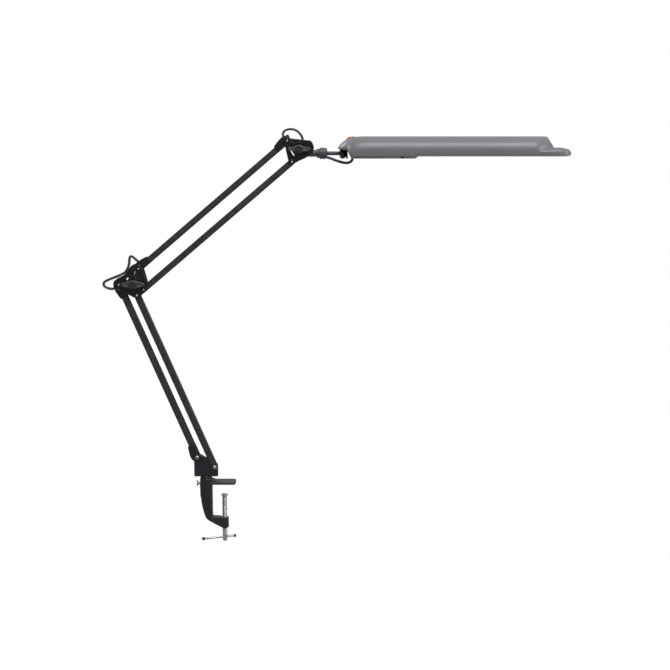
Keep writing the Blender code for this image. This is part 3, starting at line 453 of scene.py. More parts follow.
# =====================================================================================
# clamp
# =====================================================================================
def clamp():
    spine = round_loop([(-53.7, 3), (-26.8, 3), (-26.8, -87.6), (-37.6, -81.3), (-42, -75.5), (-46.8, -60), (-50.5, -42), (-53, -15)], 5.0)
    body = slab("clamp_body", [spine], -13, 13, 2.2)
    socket = turned("t_socket", [(0, -34), (12.5, -34), (14, -28), (14, 11), (13, 12), (0, 12)], (SWIVEL_X, 0, 0), seg=64)
    bm = bmesh.new()
    vs = []
    for x, zb, zt, h in ((-30, -85.7, -67.3, 12.6), (-6, -100.4, -77.6, 8.1)):
        vs.append([bm.verts.new((x, y, z)) for y, z in ((-h, zb), (h, zb), (h, zt), (-h, zt))])
    bm.faces.new(vs[0])
    bm.faces.new(vs[1])
    for i in range(4):
        bm.faces.new((vs[0][i], vs[0][(i + 1) % 4], vs[1][(i + 1) % 4], vs[1][i]))
    arm = make("t_arm", bm)
    boss = turned("t_boss", [(0, -101), (8, -101), (9, -100), (9, -77.8), (8.2, -77), (0, -77)], (0, 0, 0), seg=48)
    gusset = slab("t_gusset", [[(-34, 11.2), (-25.5, 10.6), (-20, 8.4), (-13, 6.8), (-13, 2), (-34, 2)]], -9.5, 9.5, 1.0)
    add(body, socket, arm, boss, gusset)
    fillets(body, 0.8, 7)
    cut(body, rod("t1", 8.3, -25, 20, (SWIVEL_X, 0, 0), seg=48), rod("t2", SPINDLE_R + GAP, -110, -60, (0, 0, 0), seg=40),
        rod("t3", 2.8, -20, -7, (SWIVEL_X, 0, 0), "X", 24), block("t4", (-26.5, -40, -0.02), (60, 40, 8.2)),
        block("t5", (-26.5, -40, -76.6), (-10.5, 40, -30)))
    # the jaw: a flat pad whose upper face carries a lengthwise ridge, with rolled edges
    plan = [(-34, -8), (-27, -15.5), (25.5, -15.5), (25.5, 15.5), (-27, 15.5), (-34, 8)]
    plan = plan[:2] + corner(plan[1], plan[2], plan[3], 7, 10) + corner(plan[2], plan[3], plan[4], 7, 10) + plan[4:]
    bm = bmesh.new()
    rows = []
    for k, (z, d) in enumerate(((0.0, 0.5), (0.15, 0.15), (0.5, 0.0), (4.4, 0.0), (5.6, 0.35), (6.3, 1.2), (6.6, 2.6))):
        rows.append([bm.verts.new((x, y, z)) for x, y in inset(plan, d)])
    crown = [bm.verts.new((v.co.x * 0.94 - 1.2, v.co.y * 0.62, 7.0)) for v in rows[-1]]
    ridge = [bm.verts.new((v.co.x * 0.94 - 1.2, v.co.y * 0.30, 7.2)) for v in rows[-1]]
    rows += [crown, ridge]
    for a, b in zip(rows, rows[1:]):
        for i in range(len(a)):
            j = (i + 1) % len(a)
            bm.faces.new((a[i], a[j], b[j], b[i]))
    bm.faces.new(rows[0][::-1])
    bm.faces.new(rows[-1])
    jaw = make("t_jaw", bm)
    cut(tint(jaw, PAD), tint(rod("t6", 8.3, -25, 20, (SWIVEL_X, 0, 0), seg=48), PAD))
    add(tint(body, CAST), jaw)
    settle(body, None, "clamp", ["clamp_frame"], 38)

    bush = turned("swivel_collar_bush", [(6.3, -24.6), (8.0, -24.6), (8.0, 12.3), (12.6, 12.3), (13.0, 13.0), (13.0, 15.4), (12.4, 16.1), (6.3, 16.1)],
                  (SWIVEL_X, 0, 0), seg=64, soft=0.5)
    cut(bush, rod("t7", 2.8, -12, -4, (SWIVEL_X, 0, 0), "X", 24))
    settle(bush, PLASTIC, "clamp", ["swivel_bush"], 40)

    lock = turned("wing_lock_screw", [(0, -21.0), (2.6, -21.0), (3.3, -20.2), (3.3, -15.6), (2.5, -15.2), (2.5, -6.4), (0, -6.4)], (SWIVEL_X, 0, 0), "X", 32, soft=0.3)
    wing = slab("t_wing", [round_loop([(-61.6, -3.2), (-61.2, -6.2), (-59, -6.4), (-56.6, -1.6), (-56.6, 1.6), (-59, 6.4), (-61.2, 6.2), (-61.6, 3.2), (-60.4, 0)], 1.2)], -1.1, 1.1, 0.5)
    settle(add(lock, wing), ZINC_X, "lock_screw", ["pin_lock_screw"], 40)

    disc = turned("clamp_pressure_disc", [(0, -25.6), (4.6, -25.6), (4.9, -25.0), (7.1, -25.0), (7.4, -25.3), (7.4, -26.4), (5.9, -28.9), (5.6, -29.5), (3.3, -29.5), (3.3, -27.1), (0, -27.1)],
                  (0, 0, 0), seg=64, soft=0.25)
    settle(disc, ZINC, "pressure_disc", ["pressure_disc"], 40)

    # spindle: a rolled 1.5 mm thread between plain ends
    seg, pitch, per = 28, 1.5, 6
    bm = bmesh.new()
    rows = []
    z = -31.2
    tail = [(4.9, -118.3), (4.9, -121.0), (4.9, -129.0), (4.6, -130.4), (3.6, -131.8), (2.4, -132.2)]
    head = [(3.0, -27.5), (3.0, -29.8), (4.5, -29.8), (4.9, -30.4)]
    for r, h in head:
        rows.append([bm.verts.new((r * math.cos(2 * math.pi * k / seg), r * math.sin(2 * math.pi * k / seg), h)) for k in range(seg)])
    while z > -117.4:
        row = []
        for k in range(seg):
            a = 2 * math.pi * k / seg
            f = ((z / pitch) + k / seg) % 1.0
            tri = 1 - abs(2 * f - 1)
            fade = min(1.0, (-31.2 - z) / 2.0, (z + 117.4) / 2.0 + 0.2)
            r = 4.9 + fade * (0.30 - 0.75 * (1 - min(1.0, tri * 1.35)))
            row.append(bm.verts.new((r * math.cos(a), r * math.sin(a), z)))
        rows.append(row)
        z -= pitch / per
    for r, h in tail:
        rows.append([bm.verts.new((r * math.cos(2 * math.pi * k / seg), r * math.sin(2 * math.pi * k / seg), h)) for k in range(seg)])
    for a, b in zip(rows, rows[1:]):
        for k in range(seg):
            j = (k + 1) % seg
            bm.faces.new((a[k], b[k], b[j], a[j]))
    bm.faces.new(rows[0])
    bm.faces.new(rows[-1][::-1])
    turn = Matrix.Translation((0, 0, TOMMY_Z)) @ Matrix.Rotation(TOMMY_TURN, 4, "Z")
    screw = cut(make("threaded_spindle", bm), rod("t8", TOMMY_R + GAP, -8, 8, (0, 0, 0), "X", 28, m=turn))
    settle(screw, ZINC, "spindle", ["clamp_spindle"], 50)
    bar = turned("sliding_tommy_bar", [(0, -48.5), (1.9, -48.5), (2.3, -48.0), (2.3, 21.0), (1.9, 21.5), (0, 21.5)], (0, 0, 0), "X", 32, m=turn)
    settle(bar, ZINC_X, "tommy", ["tommy_bar"], 40)
    cap = turned("tommy_end_cap", [(0, -52.2), (2.9, -52.2), (3.4, -51.4), (3.4, -47.2), (3.0, -46.5), (2.6, -46.5), (2.6, -49), (0, -49)], (0, 0, 0), "X", 36, soft=0.5, m=turn)
    settle(cap, PLASTIC, "tommy", ["tommy_cap_left"], 45)
    cap = turned("tommy_end_flange", [(0, 24.5), (3.4, 24.5), (3.7, 24.2), (3.7, 23.1), (3.0, 22.8), (3.0, 19.5), (2.6, 19.5), (2.6, 22), (0, 22)], (0, 0, 0), "X", 36, soft=0.3, m=turn)
    settle(cap, PLASTIC, "tommy", ["tommy_cap_right"], 45)


# =====================================================================================
# base bracket
# =====================================================================================
def cross_head(name, p, r, face, depth, rise, bore_to, rear):
    """A pan-head screw with a cross recess, its shank through to the rear."""
    o = turned(name, [(0, -face - rise), (r * 0.52, -face - rise * 0.96), (r * 0.82, -face - rise * 0.72), (r * 0.97, -face - rise * 0.36), (r, -face - GAP),
                      (2.5, -face - GAP), (2.5, bore_to), (2.2, bore_to + 0.4), (0, bore_to + 0.4)], (p.x, 0, p.y), "Y", 40)
    tools = []
    for k in range(2):
        w, l = (r * 0.52, r * 0.16) if k else (r * 0.16, r * 0.52)
        tools.append(block("t_cross%d" % k, (p.x - w, -face - rise - 1, p.y - l), (p.x + w, -face - rise + depth, p.y + l)))
    return cut(o, *tools)


def hex_nut(name, p, face, r=4.7, height=3.3):
    six = [(p.x + r * math.cos(math.radians(60 * k + 12)), p.y + r * math.sin(math.radians(60 * k + 12))) for k in range(6)]
    return slab(name, [six, ring(p, 3.0, 28)], face + GAP, face + GAP + height, 0.45, 2)


def base():
    pin = turned("swivel_pivot_pin", [(0, -24.0), (5.4, -24.0), (6.0, -23.4), (6.0, 16.2), (3.2, 16.2), (3.2, 23.0), (0, 23.0)], (SWIVEL_X, 0, 0), seg=48, soft=0.3)
    settle(pin, ZINC, "base", ["swivel_pin"], 40)
    outline = [(-66, BRACKET_BOT), (-13.6, BRACKET_BOT), (-13.6, 40), (-15.5, 45.2), (-54, 66.2), (-60, 68.6), (-64, 67), (-66, 62)]
    o = slab("folded_base_bracket", [round_loop(outline, 2.5)], -BRACKET_OUT, BRACKET_OUT, 1.0)
    cut(o, block("t1", (-80, -BRACKET_IN, BRACKET_BOT + 3.5), (0, BRACKET_IN, 90)), rod("t2", 3.5, 10, 24, (SWIVEL_X, 0, 0)),
        rod("t3", 2.8, -12, 12, (B1.x, 0, B1.y), "Y"), rod("t4", 2.8, -12, 12, (B2.x, 0, B2.y), "Y"))
    bevel(o, 0.3, 2, 50)
    settle(o, FOLDED, "base", ["base_bracket"], 35)
    for tag, p, face in (("outer", B1, SLEEVE_Y), ("inner", B2, BAR_HALF_Y)):
        s = cross_head("base_pivot_screw_" + tag, p, 4.6, face, 1.5, 3.0, face + 4.0, True)
        settle(s, RIVET, "base", ["base_screw_" + tag], 30)
        settle(hex_nut("base_pivot_nut_" + tag, p, face), RIVET, "base", ["base_nut_" + tag], 30)


# =====================================================================================
# arms
# =====================================================================================
def bar(name, node, origin, direction, length, outer, body):
    m = place_xz(origin, direction)
    r = BAR_W / 2
    out = arc(length, 0, r, -90, 90, 20) + arc(0, 0, r, 90, 270, 20)
    o = slab(name, [out], -BAR_HALF_Y, BAR_HALF_Y, 1.4, 3)
    side = 1 if outer else -1
    iy = BAR_HALF_Y - BAR_WALL
    n0, n1 = sorted((-side * 20, side * (r - BAR_WALL)))
    tools = [block("t1", (-20, -iy, n0), (length + 20, iy, n1)),
             block("t2", (-20, -iy + 0.01, -19), (WEB_CUT, iy - 0.01, 19)), block("t3", (length - WEB_CUT, -iy + 0.01, -19), (length + 20, iy - 0.01, 19)),
             rod("t4", 2.8, -12, 12, (0, 0, 0), "Y"), rod("t5", 2.8, -12, 12, (length, 0, 0), "Y")]
    cut(o, *tools)
    bevel(o, 0.22, 1, 55)
    return settle(o, POWDER, body, [node], 35, m)


SLEEVE = [(-8.2, -3.5), (-8.8, 1.5), (-7.6, 7.0), (-3.5, 11.4), (3.0, 13.3), (11, 13.1), (21, 11.2), (27, 9.9), (30.5, 7.9), (30.5, -6.9), (-4.5, -6.9)]


def sleeve(name, node, origin, direction, s0, sign, body, fork=False):
    m = place_xz(origin, direction)
    pts = [(s0 + sign * s, n) for s, n in SLEEVE]
    o = slab(name, [round_loop(pts, 3.0)], -SLEEVE_Y, SLEEVE_Y, 1.3)
    lo, hi = sorted((s0 - sign * 30, s0 + sign * 60))
    tools = [block("t1", (lo, -BAR_HALF_Y - GAP, -30), (hi, BAR_HALF_Y + GAP, BAR_W / 2 + GAP))]
    if fork:
        tools.append(block("t2", (s0 - 20, -BRACKET_OUT - 0.5, -30), (s0 + 14, BRACKET_OUT + 0.5, 30)))
    tools.append(rod("t3", 2.8, -14, 14, (s0, 0, 0), "Y"))
    # two moulded grip lines across the hump
    for k in range(3):
        s = s0 + sign * (17.0 + 3.6 * k)
        tools.append(block("t_line%d" % k, (s - 0.45, -20, 11.45 - 0.55 * k), (s + 0.45, 20, 20)))
    cut(o, *tools)
    if sign < 0 and body == "upper_outer_arm":
        fin = slab("t_fin", [[(K2.x - 28.2, K2.y + 24.4), (K2.x - 27.4, K2.y + 30.2), (K2.x - 22.4, K2.y + 29.8), (K2.x - 20.2, K2.y + 24.0), (K2.x - 24.0, K2.y + 21.0)]], -2.2, 2.2, 0.5, 2)
        fin.data.transform(m.inverted())
        add(o, fin)
    bevel(o, 0.25, 2, 50)
    return settle(o, PLASTIC, body, [node], 35, m)


def coil(name, node, origin, direction, s0, s1, body):
    m = place_xz(origin, direction)
    r, wire, pitch = 3.55, 0.62, 1.75
    turns = (s1 - s0 - 6) / pitch
    pts = []
    n = int(turns * 14)
    hook0 = [(s0 - 30 + 3.0 * math.cos(a), 0, 3.0 * math.sin(a)) for a in [math.radians(d) for d in range(20, 340, 24)]][::-1]
    pts += hook0
    pts += [(s0 - 22, 0, 0.4), (s0 - 6, 0, 0.8)]
    for i in range(n + 1):
        a = 2 * math.pi * i / 14
        grow = min(1.0, 0.35 + i / 16, 0.35 + (n - i) / 16)
        pts.append((s0 + 3 + (s1 - s0 - 6) * i / n, r * grow * math.cos(a), r * grow * math.sin(a)))
    pts += [(s1 + 2, 0, 0.8), (s1 + 8, 0, 0.4)]
    pts += [(s1 + 14 - 3.0 * math.cos(a), 0, 3.0 * math.sin(a)) for a in [math.radians(d) for d in range(20, 340, 24)]]
    cu = bpy.data.curves.new(name, "CURVE")
    cu.dimensions = "3D"
    cu.bevel_depth = wire
    cu.bevel_resolution = 1
    cu.use_fill_caps = True
    s = cu.splines.new("POLY")
    s.points.add(len(pts) - 1)
    for q, v in zip(s.points, pts):
        q.co = (*v, 1)
    o = bpy.data.objects.new(name, cu)
    scene.collection.objects.link(o)
    o = flatten(o)
    return settle(o, SPRING, body, [node], 60, m)


def arms():
    bar("lower_outer_channel", "lower_outer_bar", B1, LOWER_DIR, LOWER_LEN, True, "lower_outer_arm")
    bar("lower_inner_channel", "lower_inner_bar", B2, LOWER_DIR, LOWER_LEN, False, "lower_inner_arm")
    bar("upper_outer_channel", "upper_outer_bar", E3, UPPER_DIR, UPPER_LEN, True, "upper_outer_arm")
    bar("upper_inner_channel", "upper_inner_bar", E4, UPPER_DIR, UPPER_LEN, False, "upper_inner_arm")
    sleeve("lower_end_cap_bottom", "lower_sleeve_bottom", B1, LOWER_DIR, 0, 1, "lower_outer_arm", True)
    sleeve("lower_end_cap_top", "lower_sleeve_top", B1, LOWER_DIR, LOWER_LEN, -1, "lower_outer_arm")
    sleeve("upper_end_cap_bottom", "upper_sleeve_bottom", E3, UPPER_DIR, 0, 1, "upper_outer_arm")
    sleeve("upper_end_cap_top", "upper_sleeve_top", E3, UPPER_DIR, UPPER_LEN, -1, "upper_outer_arm")
    coil("lower_tension_spring", "lower_spring", B2, LOWER_DIR, 60, 270, "lower_inner_arm")
    coil("upper_tension_spring", "upper_spring", E4, UPPER_DIR, 60, 270, "upper_inner_arm")


# =====================================================================================
# elbow and head bracket: moulded side plates, rivets, bolts and wing knobs
# =====================================================================================
def around(c, pts):
    return [(c.x + x, c.y + z) for x, z in pts]


ELBOW_PLATE = around(K1, [(11.5, 42.3), (18.2, 39.0), (21.3, 32.0), (28.8, 4.5), (29.6, -8.5), (27.5, -16), (22, -19.8),
                          (12.5, -28.5), (6.0, -31.2), (-0.5, -28.4), (-18.4, -19.0), (-36.5, -12.2), (-42.6, -7.2), (-44.2, 0.5),
                          (-40.8, 8.0), (-35.0, 12.2), (-25.5, 16.6), (-16.0, 22.6), (-9.4, 32.6), (-4.5, 40.0), (2.6, 42.6)])
ELBOW_SLOTS = [((3.6, 28.0), (0.6, 18.2)), ((-11.6, 13.4), (-16.2, 8.0))]
HEAD_PLATE = around(K2, [(-30.7, 21.6), (-19.0, 22.2), (11.5, 18.6), (23.5, 17.8), (28.0, 12.5), (32.2, 3.4), (30.0, -5.0), (17.4, -17.6),
                         (-0.6, -25.4), (-12.6, -32.4), (-18.0, -32.0), (-22.3, -27.6), (-26.8, -8.0), (-30.8, 11.4)])
HEAD_SLOTS = [((-17.0, -4.8), (-11.4, -13.4)), ((13.4, -11.4), (17.2, -7.4))]


def side_plate(name, node, outline, side, holes, hub, slots, ribs, body):
    """A moulded plate with a raised rim, bosses round its pins, a rim round the knob and stiffening ribs."""
    smooth = round_loop(outline, 6.0, 4)
    inner, face, proud = (PLATE_IN, PLATE_OUT - 0.8, PLATE_OUT)

    def span(a, b):
        return (-b, -a) if side < 0 else (a, b)

    base = slab(name, [smooth], *span(inner, face), 0.5, 2)
    parts = [slab("t_rim", [inset(smooth, 0.35), inset(smooth, 2.3)], *span(face - 0.6, proud), 0.4, 2)]
    for k, p in enumerate(holes):
        parts.append(slab("t_boss%d" % k, [ring(p, 5.6, 36)], *span(face - 0.6, proud), 0.4, 2))
    parts.append(slab("t_hub", [ring(hub, 15.2, 60), ring(hub, 13.4, 60)], *span(face - 0.6, proud), 0.35, 2))
    parts.append(slab("t_hub2", [ring(hub, 8.6, 40)], *span(face - 0.6, proud), 0.35, 2))
    for k, (a, b) in enumerate(ribs):
        parts.append(slab("t_rib%d" % k, [capsule((hub.x + a[0], hub.y + a[1]), (hub.x + b[0], hub.y + b[1]), 0.8)], *span(face - 0.6, proud - 0.1), 0.35, 2))
    for k, (a, b) in enumerate(slots):
        parts.append(slab("t_lip%d" % k, [capsule((hub.x + a[0], hub.y + a[1]), (hub.x + b[0], hub.y + b[1]), 2.7)], *span(face - 0.6, proud - 0.2), 0.35, 2))
    add(base, *parts)
    tools = [rod("t_h%d" % k, 2.8, -16, 16, (p.x, 0, p.y), "Y", 24) for k, p in enumerate(holes)] + [rod("t_hb", 3.3, -16, 16, (hub.x, 0, hub.y), "Y", 28)]
    for k, (a, b) in enumerate(slots):
        tools.append(slab("t_s%d" % k, [capsule((hub.x + a[0], hub.y + a[1]), (hub.x + b[0], hub.y + b[1]), 1.5)], -18, 18, 0.1, 0))
    cut(base, *tools)
    return settle(base, GLOSS, body, [node], 32)


def rivet(name, node, p, body):
    """A rivet whose enamelled rim is dark, with a small worn bright crown at each end."""
    e, r = PLATE_OUT + GAP, 2.5
    prof = [(0, -e - 0.7), (1.9, -e - 0.7), (2.7, -e - 0.75), (3.4, -e - 0.5), (3.8, -e - 0.15), (3.8, -e), (r, -e), (r, e), (3.8, e), (3.8, e + 0.15), (3.4, e + 0.5), (2.7, e + 0.75),
            (1.9, e + 0.7), (0, e + 0.7)]
    o = tint(turned(name, prof, (p.x, 0, p.y), "Y", 32), PLASTIC)
    for s in (-1, 1):
        crown = turned("t_crown", [(0, s * (e + 1.4)), (0.9, s * (e + 1.34)), (1.55, s * (e + 1.1)), (1.95, s * (e + 0.75)), (1.95, s * (e - 0.4)), (0, s * (e - 0.4))], (p.x, 0, p.y), "Y", 28)
        add(o, tint(crown, RIVET))
    settle(o, None, body, [node], 40)


def bolt(name, node, p, body):
    e = PLATE_OUT + GAP
    o = rod(name, 3.0, -20.0, e + 0.5, (p.x, 0, p.y), "Y", 32)
    six = [(p.x + 6.0 * math.cos(math.radians(60 * k)), p.y + 6.0 * math.sin(math.radians(60 * k))) for k in range(6)]
    head = slab("t_head", [six], e, e + 3.6, 0.6, 2)
    dome = turned("t_dome", [(0, e + 4.3), (2.6, e + 4.2), (4.2, e + 3.9), (4.9, e + 3.3), (4.9, e + 2.6), (0, e + 2.6)], (p.x, 0, p.y), "Y", 40)
    add(o, head, dome)
    settle(o, RIVET, body, [node], 30)


def knob(name, node, p, half, height, lobes, body):
    """A wing knob: a lens-shaped grip, hollowed a little on each wing, with a round hub."""
    n = 40
    up = []
    for i in range(n + 1):
        t = -1 + 2 * i / n
        base = 0.26 + 0.74 * (1 - abs(t) ** 1.35)
        if lobes:
            base = 0.50 + 0.50 * math.exp(-(t / 0.36) ** 2) - 0.08 * math.exp(-((abs(t) - 0.62) / 0.16) ** 2)
            base *= math.sqrt(max(0.0, 1 - max(0.0, (abs(t) - 0.86) / 0.14) ** 2)) * 0.9 + 0.1
        up.append((p.x - half * t, p.y + height * base))
    out = up + [(x, 2 * p.y - z) for x, z in reversed(up)]
    o = slab(name, [out], -22.3, -14.2, 2.0, 4)
    tint(o, KNOB)
    # finger hollows on the face of both wings
    hollows = []
    for s in (-1, 1):
        bm = bmesh.new()
        bmesh.ops.create_uvsphere(bm, u_segments=40, v_segments=20, radius=1.0)
        bm.transform(Matrix.Translation((p.x + s * half * 0.62, -25.2, p.y)) @ Matrix.Diagonal((half * 0.30, 4.2, height * 0.52, 1)))
        hollows.append(tint(make("t_hollow", bm), KNOB))
    cut(o, *hollows)
    hub = turned("t_hub", [(0, -PLATE_OUT - GAP), (8.0, -PLATE_OUT - GAP), (8.0, -20.0), (7.6, -23.0), (6.9, -23.9), (5.4, -24.2), (5.2, -23.6), (0, -23.5)], (p.x, 0, p.y), "Y", 56)
    tint(hub, HUB)
    add(o, hub)
    cut(o, tint(rod("t_bore", 3.3, -20.6, -8, (p.x, 0, p.y), "Y", 32), KNOB))
    settle(o, None, body, [node], 38)


def brackets():
    ribs = [((-9, 8), (-30, 3)), ((5, 15), (10, 30)), ((12, 10), (24, -6)), ((-8, -14), (-24, -11)), ((8, -14), (6, -24))]
    for side, tag in ((-1, "front"), (1, "rear")):
        side_plate("elbow_side_" + tag, "elbow_%s_plate" % tag, ELBOW_PLATE, side, (E1, E2, E3, E4), K1, ELBOW_SLOTS, ribs, "elbow")
    for tag, p in (("lower_outer", E1), ("lower_inner", E2), ("upper_outer", E3), ("upper_inner", E4)):
        rivet("elbow_rivet_" + tag, "elbow_pin_" + tag, p, "elbow")
    spacer = turned("elbow_spacer_tube", [(3.3, -PLATE_IN + GAP), (7.0, -PLATE_IN + GAP), (7.0, PLATE_IN - GAP), (3.3, PLATE_IN - GAP)], (K1.x, 0, K1.y), "Y", 48, soft=0.5)
    settle(spacer, PLASTIC, "elbow", ["elbow_spacer"], 40)
    bolt("elbow_clamp_bolt", "elbow_bolt", K1, "elbow")
    knob("elbow_wing_knob", "elbow_knob", K1, 25.0, 9.3, False, "elbow_knob")
    ribs = [((-18.9, 17.2), (-11.4, 11.2)), ((-11.4, 11.2), (0.4, 16.8)), ((0.4, 16.8), (15.5, 8.2)), ((-4, -14), (-12, -26)), ((10, -14), (2, -20))]
    for side, tag in ((-1, "front"), (1, "rear")):
        side_plate("head_side_" + tag, "head_%s_plate" % tag, HEAD_PLATE, side, (H3, H4), K2, HEAD_SLOTS, ribs, "head_bracket")
    rivet("head_rivet_outer", "head_pin_outer", H3, "head_bracket")
    rivet("head_rivet_inner", "head_pin_inner", H4, "head_bracket")
    bolt("head_clamp_bolt", "head_bolt", K2, "head_bracket")
    knob("head_wing_knob", "head_knob", K2, 24.2, 9.0, True, "head_knob")
    gland = around(K2, [(1.8, 14.2), (7.6, 11.6), (12.8, 6.4), (26.6, 5.2), (30.6, 4.4), (29.4, 11), (25.5, 16.6), (21.5, 17.6), (12, 17.8), (1.8, 17.6)])
    o = slab("moulded_cable_gland", [round_loop(gland, 2.2)], -PLATE_IN + GAP, PLATE_IN - GAP, 0.8)
    settle(o, PLASTIC, "head_bracket", ["cable_gland_block"], 35)


# =====================================================================================
# knuckle, collar, rod
# =====================================================================================
def wrist():
    k = turned("moulded_tilt_knuckle", [(0, -9.1), (11.4, -9.1), (12.0, -8.5), (12.0, 8.5), (11.4, 9.1), (0, 9.1)], (K2.x, 0, K2.y), "Y", 56)
    neck = slab("t_neck", [round_loop([(K2.x + 4, ROD_Z - 5.5), (K2.x + 21, ROD_Z - 6.6), (K2.x + 21, ROD_Z + 6.4), (K2.x + 10, ROD_Z + 8.5), (K2.x + 2, ROD_Z + 8.5)], 2)], -6.8, 6.8, 1.0)
    tube = turned("t_tube", [(0, K2.x + 14), (6.4, K2.x + 14), (7.2, K2.x + 16), (7.2, 205.5), (5.0, 205.5), (5.0, 221.0), (0, 221.0)], (0, 0, ROD_Z), "X", 48)
    add(k, neck, tube)
    fillets(k, 0.5, 4)
    cut(k, rod("t_b", 3.4, -14, 14, (K2.x, 0, K2.y), "Y"), block("t_f1", (K2.x - 30, 9.1, K2.y - 30), (K2.x + 30, 14, K2.y + 30)))
    settle(k, SLATE, "knuckle", ["tilt_knuckle"], 40)
    prof = [(5.3, 205.8), (9.2, 205.8), (9.6, 206.6), (9.6, 211.4), (11.6, 212.6), (12.0, 214), (12.0, 217.4), (11.6, 217.7), (11.6, 218.2), (12.0, 218.5), (12.0, 222), (11.6, 225),
            (10.4, 227.4), (8.4, 228.6), (4.5, 228.6), (4.5, 221.6), (5.3, 221.6)]
    settle(turned("rod_collar", prof, (0, 0, ROD_Z), "X", 72, soft=0.7), SLATE, "rod", ["collar"], 35)
    r = turned("wrist_rod", [(0, 222.0), (4.2, 222.0), (4.2, 254.7), (5.7, 255.1), (5.7, 257.5), (5.1, 258.0), (0, 258.0)], (0, 0, ROD_Z), "X", 48, soft=0.3)
    add(r, rod("t_eye", 5.8, 719.5, 731.5, (PAN_X, 0, 0), seg=48))
    cut(r, rod("t_hole", 3.3, 700, 750, (PAN_X, 0, 0)))
    bevel(r, 0.2, 2, 60)
    settle(r, SLATE, "rod", ["head_rod"], 40)


# =====================================================================================
# head
# =====================================================================================
def ramp(x, table):
    """Smooth monotone reading of a table of (x, value)."""
    if x <= table[0][0]:
        return table[0][1]
    for (a, u), (b, v) in zip(table, table[1:]):
        if x <= b:
            t = (x - a) / (b - a)
            return u + (v - u) * t
    return table[-1][1]


HALF = [(251.6, 15.6), (252.2, 20.5), (253.2, 25.4), (254.6, 30.2), (256.4, 34.8), (258.6, 38.9), (261.2, 42.4), (264.2, 45.6), (267.6, 48.3), (271.4, 50.6), (275.6, 52.4), (280.2, 53.7),
        (286.0, 54.6), (293.0, 55.0), (712.5, 54.8), (722, 53.4), (732, 50), (738, 46), (742, 40)]
RIM = [(251.6, 736.2), (253.0, 735.6), (260.0, 734.4), (271.0, 733.0), (271.6, 732.6), (276.4, 721.2), (277.0, 720.8), (732.0, 720.8), (738, 721.4), (742, 723.4)]
TOP = [(251.6, 738.0), (252.2, 739.2), (253.2, 740.8), (254.6, 742.7), (256.4, 744.7), (258.6, 747.0), (261.2, 749.3), (264.2, 751.6), (267.6, 753.7), (271.4, 755.6), (275.6, 757.2), (280.2, 758.6),
       (286.0, 759.8), (293.0, 760.8), (301.0, 761.2), (694.0, 761.2), (696.6, 760.4), (711.4, 737.6), (713, 730)]
NEXP = [(251.6, 2.1), (256.0, 2.15), (262.0, 2.25), (270.0, 2.4), (280.0, 2.6), (292.0, 2.85), (310.0, 3.05), (340.0, 3.1), (668, 3.1), (690, 2.8), (712, 2.6)]
HUMP = [(251.6, 1.0), (668.0, 1.0), (676.0, 0.955), (688.0, 0.80), (698.0, 0.63), (706.0, 0.52), (712.0, 0.46)]
FLANGE_TOP = [(251.6, 730.0), (640.0, 733.0), (676.0, 736.6), (722.0, 737.0), (732.0, 736.8), (738.0, 735.6), (742.0, 732.0)]


def smooth_table(table, x, w):
    """The table averaged over a window of half width w, which rounds its corners."""
    return sum(ramp(x + w * k / 4.0, table) for k in range(-4, 5)) / 9.0


def shade_section(x, angles, t=0.0):
    w = min(2.4, 0.45 * max(0.3, x - 251.6), 0.4 * max(0.2, 742.0 - x)) if x < 300 or x > 660 else 2.0
    half = smooth_table(HALF, x, w)
    bot = smooth_table(RIM, x, min(w, 0.4))
    top = max(smooth_table(TOP, x, w), bot + 1.5)
    e = smooth_table(NEXP, x, w)
    hump = half * smooth_table(HUMP, x, w)
    ftop = max(min(smooth_table(FLANGE_TOP, x, w), top if x < 700 else 1e9), bot + 1.0)
    fhalf = half - ramp(x, [(251.6, 4.0), (664.0, 4.0), (680.0, 0.0)])
    if t:
        half, hump, fhalf = half - t, hump - t, fhalf - t
        top, ftop = max(top - t, bot + 0.8), max(ftop - t, bot + 0.6)
    out = []
    for a in angles:
        c, s = abs(math.cos(a)), max(1e-9, math.sin(a))
        b = top - bot
        rh = (max(c / hump, 1e-9) ** e + (s / b) ** e) ** (-1 / e) if b > 0.5 else 0.0
        fb = ftop - bot
        rf = (max(c / fhalf, 1e-9) ** 6 + (s / fb) ** 6) ** (-1 / 6)
        k = 3.0
        h = max(k - abs(rh - rf), 0.0) / k
        r = max(rh, rf) + (h * h * k * 0.25 if x > 664 else 0.0)
        r = min(r, half / max(c, 1e-6))
        out.append((-math.copysign(r * c, math.cos(a)), bot + r * s if s > 1e-8 else bot))
    return out


